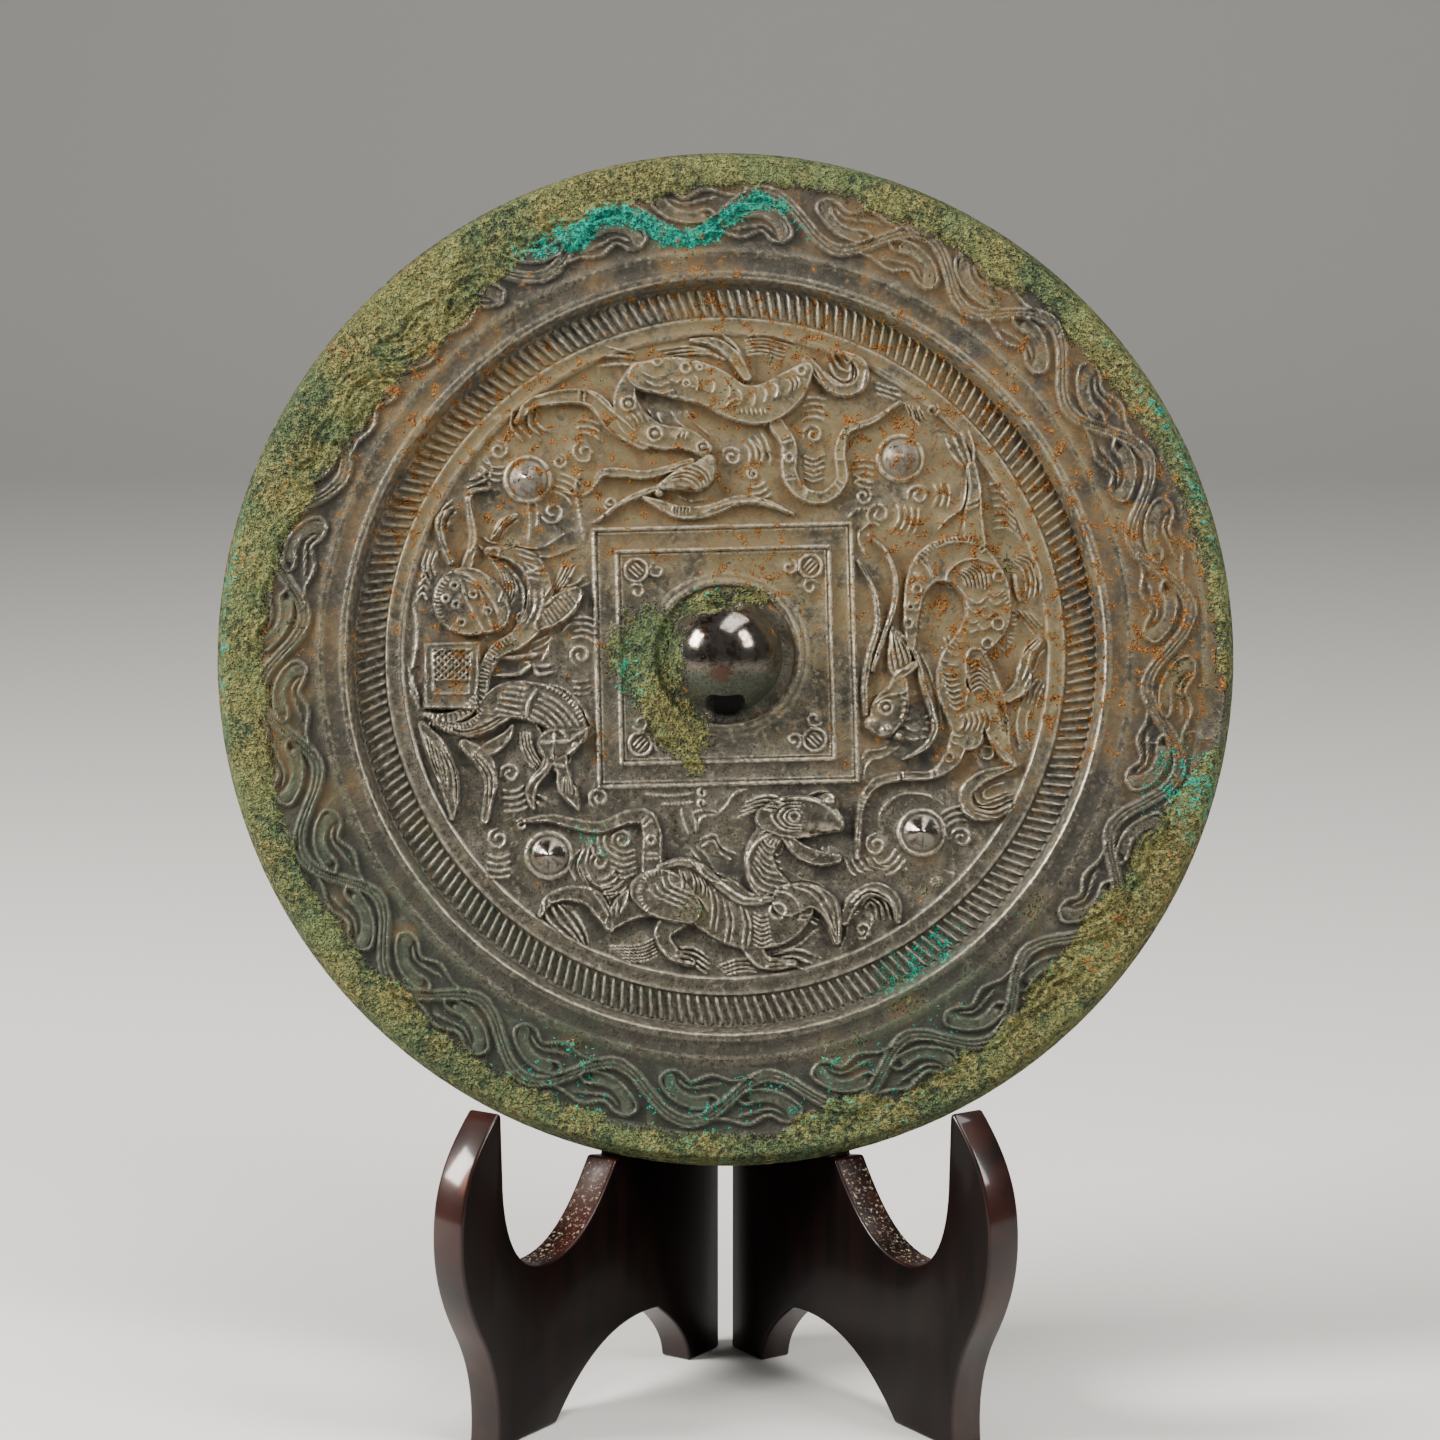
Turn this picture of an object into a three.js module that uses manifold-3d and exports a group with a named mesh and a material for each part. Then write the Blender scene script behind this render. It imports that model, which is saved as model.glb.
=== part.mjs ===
// A cast bronze mirror, shown by its decorated back, leaning on a folding wooden stand of two leaves.
// Millimetres, +Z up. The mirror faces -Y, and the stand opens towards -Y.
import * as THREE from 'three';
import { mergeVertices } from 'three/addons/utils/BufferGeometryUtils.js';
import Module from 'manifold-3d';

const wasm = await Module();
wasm.setup();

// ---- driving dimensions: mirror ------------------------------------------------------------
const MIRROR_RADIUS = 90;
const FIELD = 2.4; // thickness of the casting under the figured field
const RIM = 5.2; // thickness of the casting at the rim
const EDGE_BEVEL = 1.7; // how far the edge slopes out from the front of the rim to its back
const EDGE_LAND = 0.7; // upright land at the foot of that slope
const FIELD_RADIUS = 56.9;
const PLAIN_RING = { inner: 57.4, outer: 60, height: 0.45 };
const COMB = { outer: 65.3, height: 0.1 };
const RIM_STEP = 67;
const DISC_SIDES = 52;

const KNOB = { radius: 10.1, height: 9.8, collar: 12.2, collarHeight: 0.5, base: 14.8, baseHeight: 0.4 };
const KNOB_HOLE = { width: 6.8, height: 6.1, floor: 0.25 };
const SQUARE = { outer: 45.6, inner: 37.6, line: 0.7, height: 0.6, roll: 1.4 };
const NIPPLE = { distance: 46.8, radius: 4.5, lip: 3.7, height: 3.1 };
const NIPPLE_ANGLES = [48.4, 138.5, 228.7, 317.8];

const EMBED = 0.3; // how deep raised work is rooted in the casting
const BODY_HEIGHT = 1.2;
const LIMB_HEIGHT = 0.9;
const LINE_HEIGHT = 0.55;

// ---- driving dimensions: stand -------------------------------------------------------------
const LEAF_ANGLE = 33; // each leaf's turn from the middle plane
const LEAF_THICKNESS = 6.2;
const HINGE_GAP = 2.2; // gap between the leaves' inner corners at rest
const LEAN = 13.5; // the mirror's lean from upright
const CLEARANCE = 0.3; // kept between pieces that touch
const LIP = { reach: 33.2, height: 43.1 }; // front of the ledge that carries the mirror
const LEDGE = 3.4; // depth of that ledge, across the mirror
const POST = { height: 97, nose: 6 };
const KNUCKLE = { radius: 3.4, bore: 1.15, bottom: 56, length: 10.5 };
const PIN_RADIUS = 0.85;

const deg = THREE.MathUtils.degToRad;
const sinLeaf = Math.sin(deg(LEAF_ANGLE));
const cosLeaf = Math.cos(deg(LEAF_ANGLE));
const sinLean = Math.sin(deg(LEAN));
const cosLean = Math.cos(deg(LEAN));
const HINGE_BACK = HINGE_GAP / 2 / sinLeaf; // the hinge axis, behind the leaves' inner corners
const HINGE_Y = HINGE_BACK * cosLeaf;

// ---- solids --------------------------------------------------------------------------------
function solidOf(geometry) {
  const bare = geometry.clone();
  bare.deleteAttribute('normal');
  bare.deleteAttribute('uv');
  const merged = mergeVertices(bare, 1e-5);
  return new wasm.Manifold(new wasm.Mesh({
    numProp: 3,
    vertProperties: Float32Array.from(merged.attributes.position.array),
    triVerts: Uint32Array.from(merged.index.array),
  }));
}

function geometryOf(solid) {
  const mesh = solid.getMesh();
  const geometry = new THREE.BufferGeometry();
  geometry.setAttribute('position', new THREE.Float32BufferAttribute(mesh.vertProperties, 3));
  geometry.setIndex(Array.from(mesh.triVerts));
  geometry.computeVertexNormals();
  return geometry;
}

// A body of revolution about +Z, from a closed profile of [radius, height].
function turned(profile, sides) {
  const points = profile.map(([radius, height]) => new THREE.Vector2(radius, height));
  return new THREE.LatheGeometry(points, sides).rotateX(Math.PI / 2);
}

// A raised ridge laid on the casting along a smooth line of [x, y, half width].
// Broad ridges have a flat top with sloping sides; fine ones come to an edge.
function ridge(guide, base, height, { broad = false, steps = guide.length, closed = false } = {}) {
  const curve = new THREE.CatmullRomCurve3(
    guide.map(([x, y, half]) => new THREE.Vector3(x, y, half)), closed, 'centripetal');
  const stations = curve.getPoints(steps);
  if (closed) stations.pop();
  const section = broad
    ? [[-1, -EMBED], [1, -EMBED], [0.5, height], [-0.5, height]]
    : [[-1, -EMBED], [1, -EMBED], [0, height]];
  const n = stations.length;
  const positions = [];
  stations.forEach((station, i) => {
    const before = stations[closed ? (i + n - 1) % n : Math.max(i - 1, 0)];
    const after = stations[closed ? (i + 1) % n : Math.min(i + 1, n - 1)];
    const along = new THREE.Vector2(after.x - before.x, after.y - before.y).normalize();
    for (const [side, up] of section) {
      const reach = side * station.z;
      positions.push(station.x + along.y * reach, station.y - along.x * reach, base + up);
    }
  });
  const m = section.length;
  const index = [];
  for (let i = 0; i < (closed ? n : n - 1); i += 1) {
    for (let j = 0; j < m; j += 1) {
      const a = i * m + j;
      const b = i * m + ((j + 1) % m);
      const c = ((i + 1) % n) * m + ((j + 1) % m);
      const d = ((i + 1) % n) * m + j;
      index.push(a, b, c, a, c, d);
    }
  }
  if (!closed) {
    for (let j = 1; j < m - 1; j += 1) {
      index.push(0, j + 1, j);
      index.push((n - 1) * m, (n - 1) * m + j, (n - 1) * m + j + 1);
    }
  }
  for (let i = 0; i < index.length; i += 3) [index[i + 1], index[i + 2]] = [index[i + 2], index[i + 1]];
  const geometry = new THREE.BufferGeometry();
  geometry.setAttribute('position', new THREE.Float32BufferAttribute(positions, 3));
  geometry.setIndex(index);
  return solidOf(geometry);
}

const body = (guide, steps) => ridge(guide, FIELD, BODY_HEIGHT, { broad: true, steps });
const limb = (guide, steps) => ridge(guide, FIELD, LIMB_HEIGHT, { steps });
const line = (guide, steps) => ridge(guide, FIELD, LINE_HEIGHT, { steps });

// A curl: a fine ridge that winds in towards its eye.
function curl(x, y, radius, startAngle, hand = 1) {
  const guide = [];
  const turns = 1;
  const count = 5;
  for (let i = 0; i < count; i += 1) {
    const t = i / (count - 1);
    const angle = deg(startAngle + hand * 360 * turns * t);
    const r = radius * (1 - 0.72 * t);
    guide.push([x + r * Math.cos(angle), y + r * Math.sin(angle), 0.32]);
  }
  return ridge(guide, FIELD, LINE_HEIGHT, { steps: count - 1 });
}

// Claws: strokes that spread from a paw, each bending the same way.
function claws(x, y, heading, length, spread, count = 3) {
  return Array.from({ length: count }, (_, i) => {
    const angle = deg(heading + spread * (i - (count - 1) / 2));
    const bend = angle - deg(28);
    const middle = [x + Math.cos(angle) * length * 0.55, y + Math.sin(angle) * length * 0.55];
    const tip = [middle[0] + Math.cos(bend) * length * 0.5, middle[1] + Math.sin(bend) * length * 0.5];
    return limb([[x, y, 0.7], [...middle, 0.65], [...tip, 0.25]], 2);
  });
}

function dome(x, y, radius, height, base, sides = 14, rings = 3) {
  const profile = [[0, base - EMBED], [radius, base - EMBED]];
  for (let i = 0; i <= rings; i += 1) {
    const angle = (i / rings) * Math.PI / 2;
    profile.push([radius * Math.cos(angle), base + height * Math.sin(angle)]);
  }
  profile[profile.length - 1][0] = 0;
  return solidOf(turned(profile, sides).translate(x, y, 0));
}

// ---- the mirror's figures --------------------------------------------------------------------
function tiger() {
  return [
    body([[-14, -41.5, 3.2], [-9.5, -42, 4.9], [-3, -43.6, 5], [3, -46.6, 5], [9, -46.3, 4.6], [13, -45, 2.6]]),
    body([[10, -43, 3], [6.6, -39, 2.9], [6, -35, 2.5], [8, -31.5, 2.5]]),
    body([[7, -29, 2.4], [12, -29, 3.6], [16.5, -29, 2.7], [20, -29.6, 1.2]]),
    limb([[11, -32.6, 0.8], [15.5, -35.6, 1.3], [19.4, -36, 0.8]]),
    limb([[-35.5, -29.8, 0.8], [-31, -29.4, 1], [-25, -30.6, 1], [-19.5, -29.6, 1.1], [-15.5, -28.8, 1.3],
      [-12.8, -31, 1.8], [-12.6, -36, 2], [-12.3, -39, 2.2]]),
    limb([[-13, -42, 3], [-18, -44.5, 2.6], [-20.6, -46.8, 1.6], [-24.3, -43, 1.5], [-29, -43, 1.3], [-32, -44.5, 1]]),
    limb([[-8, -46, 2.2], [-10.8, -49.5, 1.6], [-9, -53, 1.2], [-6, -54.3, 0.9]]),
    limb([[4, -50, 2.2], [6.4, -54, 1.4], [10, -54.4, 1], [12, -54.2, 0.8]]),
    limb([[11, -40.3, 1.8], [16.5, -41, 2], [19.3, -45, 1.7], [20, -50.5, 0.9]]),
    limb([[20.8, -47, 0.9], [22.5, -43.5, 1.2], [26.5, -41.6, 1.3], [29.6, -44, 1.1], [30.2, -47, 0.6]]),
    ...claws(-31, -44.5, 296, 7, 24),
    ...claws(-6, -53.6, 330, 5, 22),
    ...claws(12, -54, 6, 5.5, 16),
    ...claws(26, -43.4, 300, 5.5, 26),
    line([[4, -25.4, 0.2], [8, -26.4, 0.5], [10, -27.2, 0.3]]),
    line([[2.5, -28, 0.2], [6, -27.6, 0.5], [9, -28.6, 0.3]]),
    line([[8.4, -32.5, 0.3], [11.5, -34.2, 0.5], [14.5, -33, 0.3]]),
  ];
}

function spottedBeast() {
  return [
    body([[-14.8, 49.4, 2.4], [-9, 49.3, 3.3], [-3, 47.8, 3.3], [2.5, 44.8, 3.1], [7, 44.4, 3.4], [11.5, 47.5, 3],
      [14.4, 50.4, 1.9]]),
    limb([[14.5, 52.4, 0.9], [17.8, 48.8, 1.2], [21.5, 46.9, 1.2], [24.2, 48.6, 1.2], [24, 51.8, 1], [21, 53.3, 0.7]]),
    body([[-15.8, 50, 1.5], [-17.8, 46, 1.9], [-16.4, 41.5, 2.8], [-12, 38.9, 2.3], [-6.5, 38.2, 1.8], [-3.8, 36.4, 1.4]]),
    body([[-2.8, 34.4, 1.2], [-4.6, 31.8, 2.5], [-8.2, 31, 1.8], [-11, 29.8, 0.7]], 5),
    limb([[-7.5, 34, 0.9], [-12, 32.6, 0.9], [-17, 32.5, 0.9], [-21, 32.8, 0.8], [-23.5, 29.5, 0.5]]),
    limb([[-11.5, 28.8, 0.7], [-8.5, 26.2, 1.1], [-3, 26, 1.1], [2.5, 28, 0.9], [7, 27.3, 0.8], [12, 25.2, 0.4]]),
    line([[-10.5, 30, 0.5], [-14, 29, 0.6], [-18, 27.3, 0.6], [-22.5, 23.8, 0.3]], 5),
    limb([[9, 41, 1.4], [11.2, 37.5, 1.4], [11.4, 32, 1.4], [13.8, 28.6, 1.3], [17.5, 28, 1.2], [20.6, 31, 1.1],
      [20.3, 36, 1], [21.5, 39.8, 0.8], [26, 41.6, 0.6], [31, 45, 0.4]], 13),
    limb([[-14.5, 37.6, 1.3], [-19.5, 41, 1.7], [-23.5, 45.3, 1.6], [-29, 45.9, 1.3], [-34.5, 44.5, 1], [-37, 41.5, 0.7]]),
    limb([[3.8, 49.4, 0.9], [1.2, 53.4, 1.1], [-2, 55.6, 0.9], [-6, 56, 0.5]]),
    ...claws(-35.4, 43, 285, 5, 26),
    line([[-15.6, 52.4, 0.5], [-19, 53.2, 0.5], [-22.5, 52.6, 0.2]], 4),
    line([[-15, 54, 0.2], [-9, 54.9, 0.45], [-3.5, 54.2, 0.2]], 4),
    dome(-17, 44.5, 1.4, 0.4, FIELD + 0.8, 8, 1),
    dome(-12.5, 39.3, 1.4, 0.4, FIELD + 0.8, 8, 1),
    dome(-3.9, 36.9, 1.1, 0.4, FIELD + 0.6, 8, 1),
  ];
}

function dragon() {
  return [
    body([[32.8, 1.5, 1], [32.9, 7, 1.4], [33.9, 12.5, 2], [36.8, 16.2, 3], [41.5, 16.8, 4], [45.7, 12.4, 4],
      [46.3, 6.5, 3.8], [43.6, 2.2, 3], [40.6, -1.5, 2.8], [40, -6, 2.6], [42.2, -10.5, 2.8], [43.2, -14.2, 2.2]], 18),
    body([[34.4, -4, 1], [31.6, -6.5, 2.8], [29.5, -10, 3.2], [27.4, -13, 1.9]], 6),
    limb([[29.5, -15.2, 0.6], [33, -15.6, 1.2], [36, -13, 1], [36, -8.5, 1], [34.4, -3, 0.8]]),
    limb([[29, -2.8, 1.3], [30.6, 0.5, 1.4], [29.3, 4, 0.6]], 4),
    limb([[25.2, -10.5, 0.8], [24.9, -5.5, 0.8], [25.8, 0, 0.8], [27.2, 5, 0.8], [26.9, 10, 0.7], [25.6, 14, 0.5],
      [23.8, 16.8, 0.2]]),
    limb([[27.4, -4, 0.6], [28.2, 2, 0.7], [29.6, 7.5, 0.8], [29.8, 13, 0.8], [28.6, 18, 0.6], [25.6, 21.3, 0.2]]),
    limb([[42, -14.5, 1.7], [40, -18, 1.3], [37, -20.6, 0.9], [32, -21, 0.9], [27, -21.8, 0.9], [24.2, -25, 0.9],
      [23.4, -30, 0.8], [23.4, -36, 0.6]]),
    body([[44, -3, 2.4], [46.5, -7.5, 2.4], [48, -12, 2], [50.3, -18.6, 0.7]], 6),
    limb([[50.2, -19.6, 0.8], [45.5, -21.3, 1.2], [42.6, -24.5, 1.2], [43.2, -27.6, 1.1], [47, -28.4, 1], [51, -26, 0.6]]),
    limb([[50, -7.5, 1.1], [52.6, -5, 1.5], [53.4, -1, 1], [55, 2.6, 0.5]], 6),
    limb([[43.6, 20, 2.4], [44, 24, 1.8], [44.2, 29, 1.3], [43.4, 33, 1]], 6),
    ...claws(42.4, 33.6, 112, 7, 24),
    line([[46, -15, 0.4], [44, -18, 0.5], [45.3, -20, 0.3]], 4),
    line([[52, 15.4, 0.5], [54, 12.5, 0.7], [54.6, 9, 0.3]], 4),
    dome(48.3, 14, 1.1, 0.35, FIELD + 0.7, 8, 1),
    dome(48.2, 5.4, 1.2, 0.35, FIELD + 0.7, 8, 1),
    dome(28.6, -9.4, 1.2, 0.4, FIELD + 1, 8, 1),
  ];
}

function tortoiseAndSnake() {
  const plaque = { left: -53, right: -45.4, top: 2.1, bottom: -9.8 };
  const corners = [[plaque.left, plaque.top], [plaque.right, plaque.top], [plaque.right, plaque.bottom],
    [plaque.left + 0.7, plaque.bottom]];
  const inset = ([x, y], i) => [x + (i === 0 || i === 3 ? 2.1 : -0.9), y + (i < 2 ? -1.3 : 3), 0.35];
  return [
    dome(-46, 8.5, 5.9, 1.6, FIELD, 16, 2),
    limb([[-43, 17.8, 0.8], [-39, 18, 1], [-35, 16.6, 1.6], [-32.8, 12.5, 1.9], [-33.2, 7, 1.9], [-36, 2.8, 1.7],
      [-40.5, 0, 1.5], [-43.2, -4, 1.4], [-44.2, -8.6, 1.2]]),
    body([[-32.6, 7.4, 1.4], [-29.5, 7.8, 2.3], [-27, 8, 1.3]], 4),
    ...corners.map((corner, i) => line([[...corner, 0.4], [...corners[(i + 1) % 4], 0.4]], 1)),
    ...corners.map((corner, i) => line([inset(corner, i), inset(corners[(i + 1) % 4], (i + 1) % 4)], 1)),
    limb([[-41, 16.4, 0.7], [-39.2, 13.5, 1], [-39.4, 10, 0.7]], 4),
    body([[-51, -12.6, 0.9], [-46, -13.4, 1.4], [-42, -11, 2], [-38, -8.4, 2.9], [-33, -8.4, 3], [-29, -10.6, 3],
      [-28, -14.5, 2.5]], 11),
    body([[-28.2, -13.5, 2.8], [-28.6, -17, 2.5], [-29.6, -19.6, 1]], 4),
    limb([[-30.8, -19.6, 0.8], [-33.4, -22.4, 1], [-34.6, -25, 0.5]], 4),
    limb([[-27.6, -19, 1.2], [-27, -22.5, 1.2], [-25.6, -25.4, 0.5]], 4),
    limb([[-53.5, -12.6, 0.8], [-50.6, -16, 1], [-48.6, -20, 1], [-47.8, -25, 0.9], [-49, -28.5, 0.5]]),
    limb([[-45.5, -15, 0.9], [-43, -19.5, 0.9], [-41.8, -24, 0.9], [-43, -29.5, 0.6]]),
    limb([[-46, 14.6, 1.5], [-44.8, 20.5, 0.9], [-45.4, 25, 0.8], [-45.2, 29, 0.6], [-41.5, 30, 0.4]]),
    limb([[-48.4, 15.6, 0.9], [-50, 20.5, 0.8], [-50.6, 24.5, 0.8], [-48, 26.5, 0.4]]),
    line([[-41.3, 20, 0.6], [-39.8, 23, 1], [-37.2, 24.6, 0.4]], 4),
    ...[[-48, 9.2], [-46.4, 12.4], [-46.4, 4.9], [-44.6, 10.4], [-42.2, 7.4]].map(
      ([x, y]) => dome(x, y, 0.9, 0.35, FIELD + 1.15, 6, 1)),
  ];
}

function fill() {
  const curls = [
    [-22.3, -25.3, 2, 250, -1], [-18.2, -32.7, 1.9, 200, -1], [-22.2, -36.6, 1.8, 200, -1],
    [26.6, -33.6, 2.1, 90, 1], [41.6, -32.4, 2, 180, -1], [15.6, 39.2, 1.9, 200, -1], [24.4, 28.2, 1.7, 100, -1],
    [34.2, 28.4, 2, 200, -1], [27.2, 25, 2.3, 250, -1], [-25, 36, 2.2, 100, 1], [-40.2, 36.4, 1.8, 100, -1],
    [-30.6, 25.4, 2.4, 180, 1], [-25.6, 0, 2, 250, -1], [-38, -21, 2, 200, -1], [1.2, 35.2, 1.9, 180, -1],
  ];
  return curls.map((values) => curl(...values));
}

// A four-leaved corner of the square: one large disc and a small curl on either side.
function corners() {
  const reach = SQUARE.inner / 2 - 2.9;
  return [45, 135, 225, 315].flatMap((corner) => {
    const angle = deg(corner + SQUARE.roll);
    const out = reach * Math.SQRT2;
    const centre = [out * Math.cos(angle), out * Math.sin(angle)];
    const small = [-1, 1].map((side) => {
      const turn = angle + deg(180 + side * 45);
      return dome(centre[0] + 4.3 * Math.cos(turn), centre[1] + 4.3 * Math.sin(turn), 1.4, 0.5, FIELD, 7, 1);
    });
    return [dome(...centre, 2.2, 0.7, FIELD, 9, 1), ...small];
  });
}

function squareFrame(side) {
  const half = side / 2;
  return [0, 1, 2, 3].map((i) => {
    const geometry = new THREE.BoxGeometry(side + SQUARE.line, SQUARE.line, SQUARE.height + EMBED);
    geometry.translate(0, half, FIELD + (SQUARE.height - EMBED) / 2);
    return solidOf(geometry.rotateZ(deg(SQUARE.roll + 90 * i)));
  });
}

function nipple(angle) {
  const x = NIPPLE.distance * Math.cos(deg(angle));
  const y = NIPPLE.distance * Math.sin(deg(angle));
  const { radius, lip, height } = NIPPLE;
  const profile = [[0, FIELD - EMBED], [radius, FIELD - EMBED], [radius, FIELD + 0.5], [lip, FIELD + 0.6],
    [lip * 0.65, FIELD + height * 0.78], [0, FIELD + height]];
  return solidOf(turned(profile, 12).translate(x, y, 0));
}

function knob() {
  const { radius, height, collar, collarHeight, base, baseHeight } = KNOB;
  const profile = [[0, FIELD - EMBED], [base, FIELD - EMBED], [base - 0.4, FIELD + baseHeight],
    [collar, FIELD + baseHeight * 0.4], [collar - 0.5, FIELD + collarHeight]];
  const rings = 4;
  for (let i = 0; i <= rings; i += 1) {
    const angle = deg(6 + 84 * i / rings);
    profile.push([radius * Math.cos(angle), FIELD + height * Math.sin(angle)]);
  }
  profile[profile.length - 1][0] = 0;
  const whole = solidOf(turned(profile, 20));
  const { width, height: clear, floor } = KNOB_HOLE;
  const arch = new THREE.Shape();
  arch.moveTo(-width / 2, 0);
  arch.lineTo(width / 2, 0);
  arch.lineTo(width / 2, clear - 1.6);
  arch.quadraticCurveTo(width / 2, clear, width / 2 - 1.2, clear);
  arch.lineTo(-width / 2 + 1.2, clear);
  arch.quadraticCurveTo(-width / 2, clear, -width / 2, clear - 1.6);
  const tunnel = new THREE.ExtrudeGeometry(arch, { depth: 2 * base, bevelEnabled: false, curveSegments: 2 });
  tunnel.translate(0, 0, -base).rotateX(Math.PI / 2).translate(0, 0, FIELD + floor);
  return whole.subtract(solidOf(tunnel));
}

// The rim's running vine: a wave round the rim, with a hooked leaf in each of its hollows.
function vine() {
  const waves = 18;
  const middle = 78.3;
  const swing = 3.7;
  const steps = 4;
  const polar = (turn, radius, half) => {
    const angle = deg(turn);
    return [radius * Math.cos(angle), radius * Math.sin(angle), half];
  };
  const stem = [];
  for (let i = 0; i < waves * steps; i += 1) {
    const turn = 360 * i / (waves * steps);
    stem.push(polar(turn, middle + swing * Math.cos(deg((turn - 5) * waves)), 0.95));
  }
  const leaves = Array.from({ length: waves * 2 }, (_, i) => {
    const turn = 5 + 180 * i / waves;
    const side = i % 2 ? 1 : -1; // odd leaves lie outside the stem, even ones inside it
    const at = (step, lift) => polar(turn - side * step, middle + side * lift, 0.75);
    return ridge([at(-4.4, 0.4), at(0.4, -1), at(3.9, 1.8), at(-2.6, 3.2)], RIM, LINE_HEIGHT, { steps: 3 });
  });
  return [ridge(stem, RIM, LINE_HEIGHT, { closed: true, steps: waves * steps }), ...leaves];
}

function mirrorGeometry() {
  const front = RIM - EDGE_LAND;
  const ringTop = FIELD + PLAIN_RING.height;
  const comb = FIELD + COMB.height;
  const profile = [
    [0, 0], [MIRROR_RADIUS - 0.6, 0], [MIRROR_RADIUS, RIM - front], [MIRROR_RADIUS - EDGE_BEVEL, RIM],
    [RIM_STEP, RIM], [COMB.outer, comb], [PLAIN_RING.outer + 0.2, comb], [PLAIN_RING.outer, ringTop],
    [PLAIN_RING.inner, ringTop], [FIELD_RADIUS, FIELD], [0, FIELD]];
  const raised = [
    ...squareFrame(SQUARE.outer), ...squareFrame(SQUARE.inner), ...corners(), ...NIPPLE_ANGLES.map(nipple),
    ...tiger(), ...spottedBeast(), ...dragon(), ...tortoiseAndSnake(), ...fill()];
  const plate = solidOf(turned(profile, DISC_SIDES));
  const cast = [...raised, knob(), ...vine()].reduce((whole, piece) => whole.add(piece), plate);
  return geometryOf(cast.asOriginal().simplify(0.02));
}

// ---- the stand's leaves ----------------------------------------------------------------------
// The ledge's inner corner, where the mirror's back edge sits, in a leaf's own [reach, height].
const seat = {
  reach: LIP.reach - LEDGE * cosLean / cosLeaf,
  height: LIP.height - LEDGE * sinLean,
};

function leafOutline() {
  const postSlope = cosLeaf * cosLean / sinLean;
  const noseFoot = POST.height - POST.nose;
  const outline = new THREE.Shape();
  outline.moveTo(0, 0);
  outline.lineTo(9.9, 0);
  outline.quadraticCurveTo(10.1, 6, 20.1, 12.6); // small arch behind the cusp
  outline.quadraticCurveTo(38.3, 14.9, 51.7, 0); // broad arch between the feet
  outline.lineTo(69, 0);
  outline.bezierCurveTo(68, 8, 69.6, 14.7, 73.4, 20.7);
  outline.bezierCurveTo(76.8, 26.2, 79, 31.5, 79, 38.3);
  outline.bezierCurveTo(79, 47, 75.8, 52.4, 67.7, 59.2); // up to the hook's tip
  outline.lineTo(66.9, 47.6);
  outline.bezierCurveTo(66.9, 37.4, 63.1, 29.3, 54.3, 29.3); // down into the notch
  outline.bezierCurveTo(45.9, 29.3, 39.9, 33.7, LIP.reach, LIP.height);
  outline.lineTo(seat.reach, seat.height);
  outline.lineTo(seat.reach - (noseFoot - seat.height) / postSlope, noseFoot);
  outline.quadraticCurveTo(9.3, POST.height, 3.8, POST.height);
  outline.lineTo(0, POST.height);
  return outline;
}

// side is -1 for the left leaf and +1 for the right one.
function leafGeometry(side) {
  const board = new THREE.ExtrudeGeometry(leafOutline(), {
    depth: LEAF_THICKNESS, bevelEnabled: false, curveSegments: 6 });
  if (side > 0) board.translate(0, 0, -LEAF_THICKNESS);
  const toPlace = new THREE.Matrix4().makeBasis(
    new THREE.Vector3(side * sinLeaf, -cosLeaf, 0),
    new THREE.Vector3(0, 0, 1),
    new THREE.Vector3(-cosLeaf, -side * sinLeaf, 0));
  board.applyMatrix4(toPlace).translate(side * HINGE_GAP / 2, 0, 0);

  const barrel = (radius, bottom, length) => {
    const geometry = new THREE.CylinderGeometry(radius, radius, length, 16).rotateX(Math.PI / 2);
    return solidOf(geometry.translate(0, HINGE_Y, bottom + length / 2));
  };
  const { radius, bore, bottom, length } = KNUCKLE;
  const level = (i) => bottom + i * (length + CLEARANCE);
  const own = side < 0 ? [1] : [0, 2];
  const other = side < 0 ? [0, 2] : [1];
  let leaf = solidOf(board);
  for (const i of own) leaf = leaf.add(barrel(radius, level(i), length));
  for (const i of other) {
    leaf = leaf.subtract(barrel(radius + CLEARANCE, level(i) - CLEARANCE, length + 2 * CLEARANCE));
  }
  const drill = barrel(bore, bottom - 1, 3 * (length + CLEARANCE) + 2);
  return geometryOf(leaf.subtract(drill));
}

function pinGeometry() {
  const length = 3 * KNUCKLE.length + 2 * CLEARANCE;
  const geometry = new THREE.CylinderGeometry(PIN_RADIUS, PIN_RADIUS, length, 12);
  return geometry.rotateX(Math.PI / 2);
}

// ---- materials and assembly ------------------------------------------------------------------
const bronze = new THREE.MeshStandardMaterial({ color: 0x7b7363, roughness: 0.45, metalness: 0.75 });
const lacqueredWood = () => new THREE.MeshStandardMaterial({ color: 0x2a1512, roughness: 0.3, metalness: 0 });
const brass = new THREE.MeshStandardMaterial({ color: 0x9a7b3e, roughness: 0.4, metalness: 0.9 });

function named(name, geometry, material) {
  const mesh = new THREE.Mesh(geometry, material);
  mesh.name = name;
  return mesh;
}

const mirror = named('mirror', mirrorGeometry(), bronze);
mirror.rotation.x = deg(90 - LEAN);
const seatX = HINGE_GAP / 2 + seat.reach * sinLeaf;
const seatY = -seat.reach * cosLeaf;
const lift = Math.sqrt((MIRROR_RADIUS + CLEARANCE) ** 2 - seatX ** 2);
mirror.position.set(
  0,
  seatY + lift * sinLean - CLEARANCE * cosLean,
  seat.height + lift * cosLean + CLEARANCE * sinLean);

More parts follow.
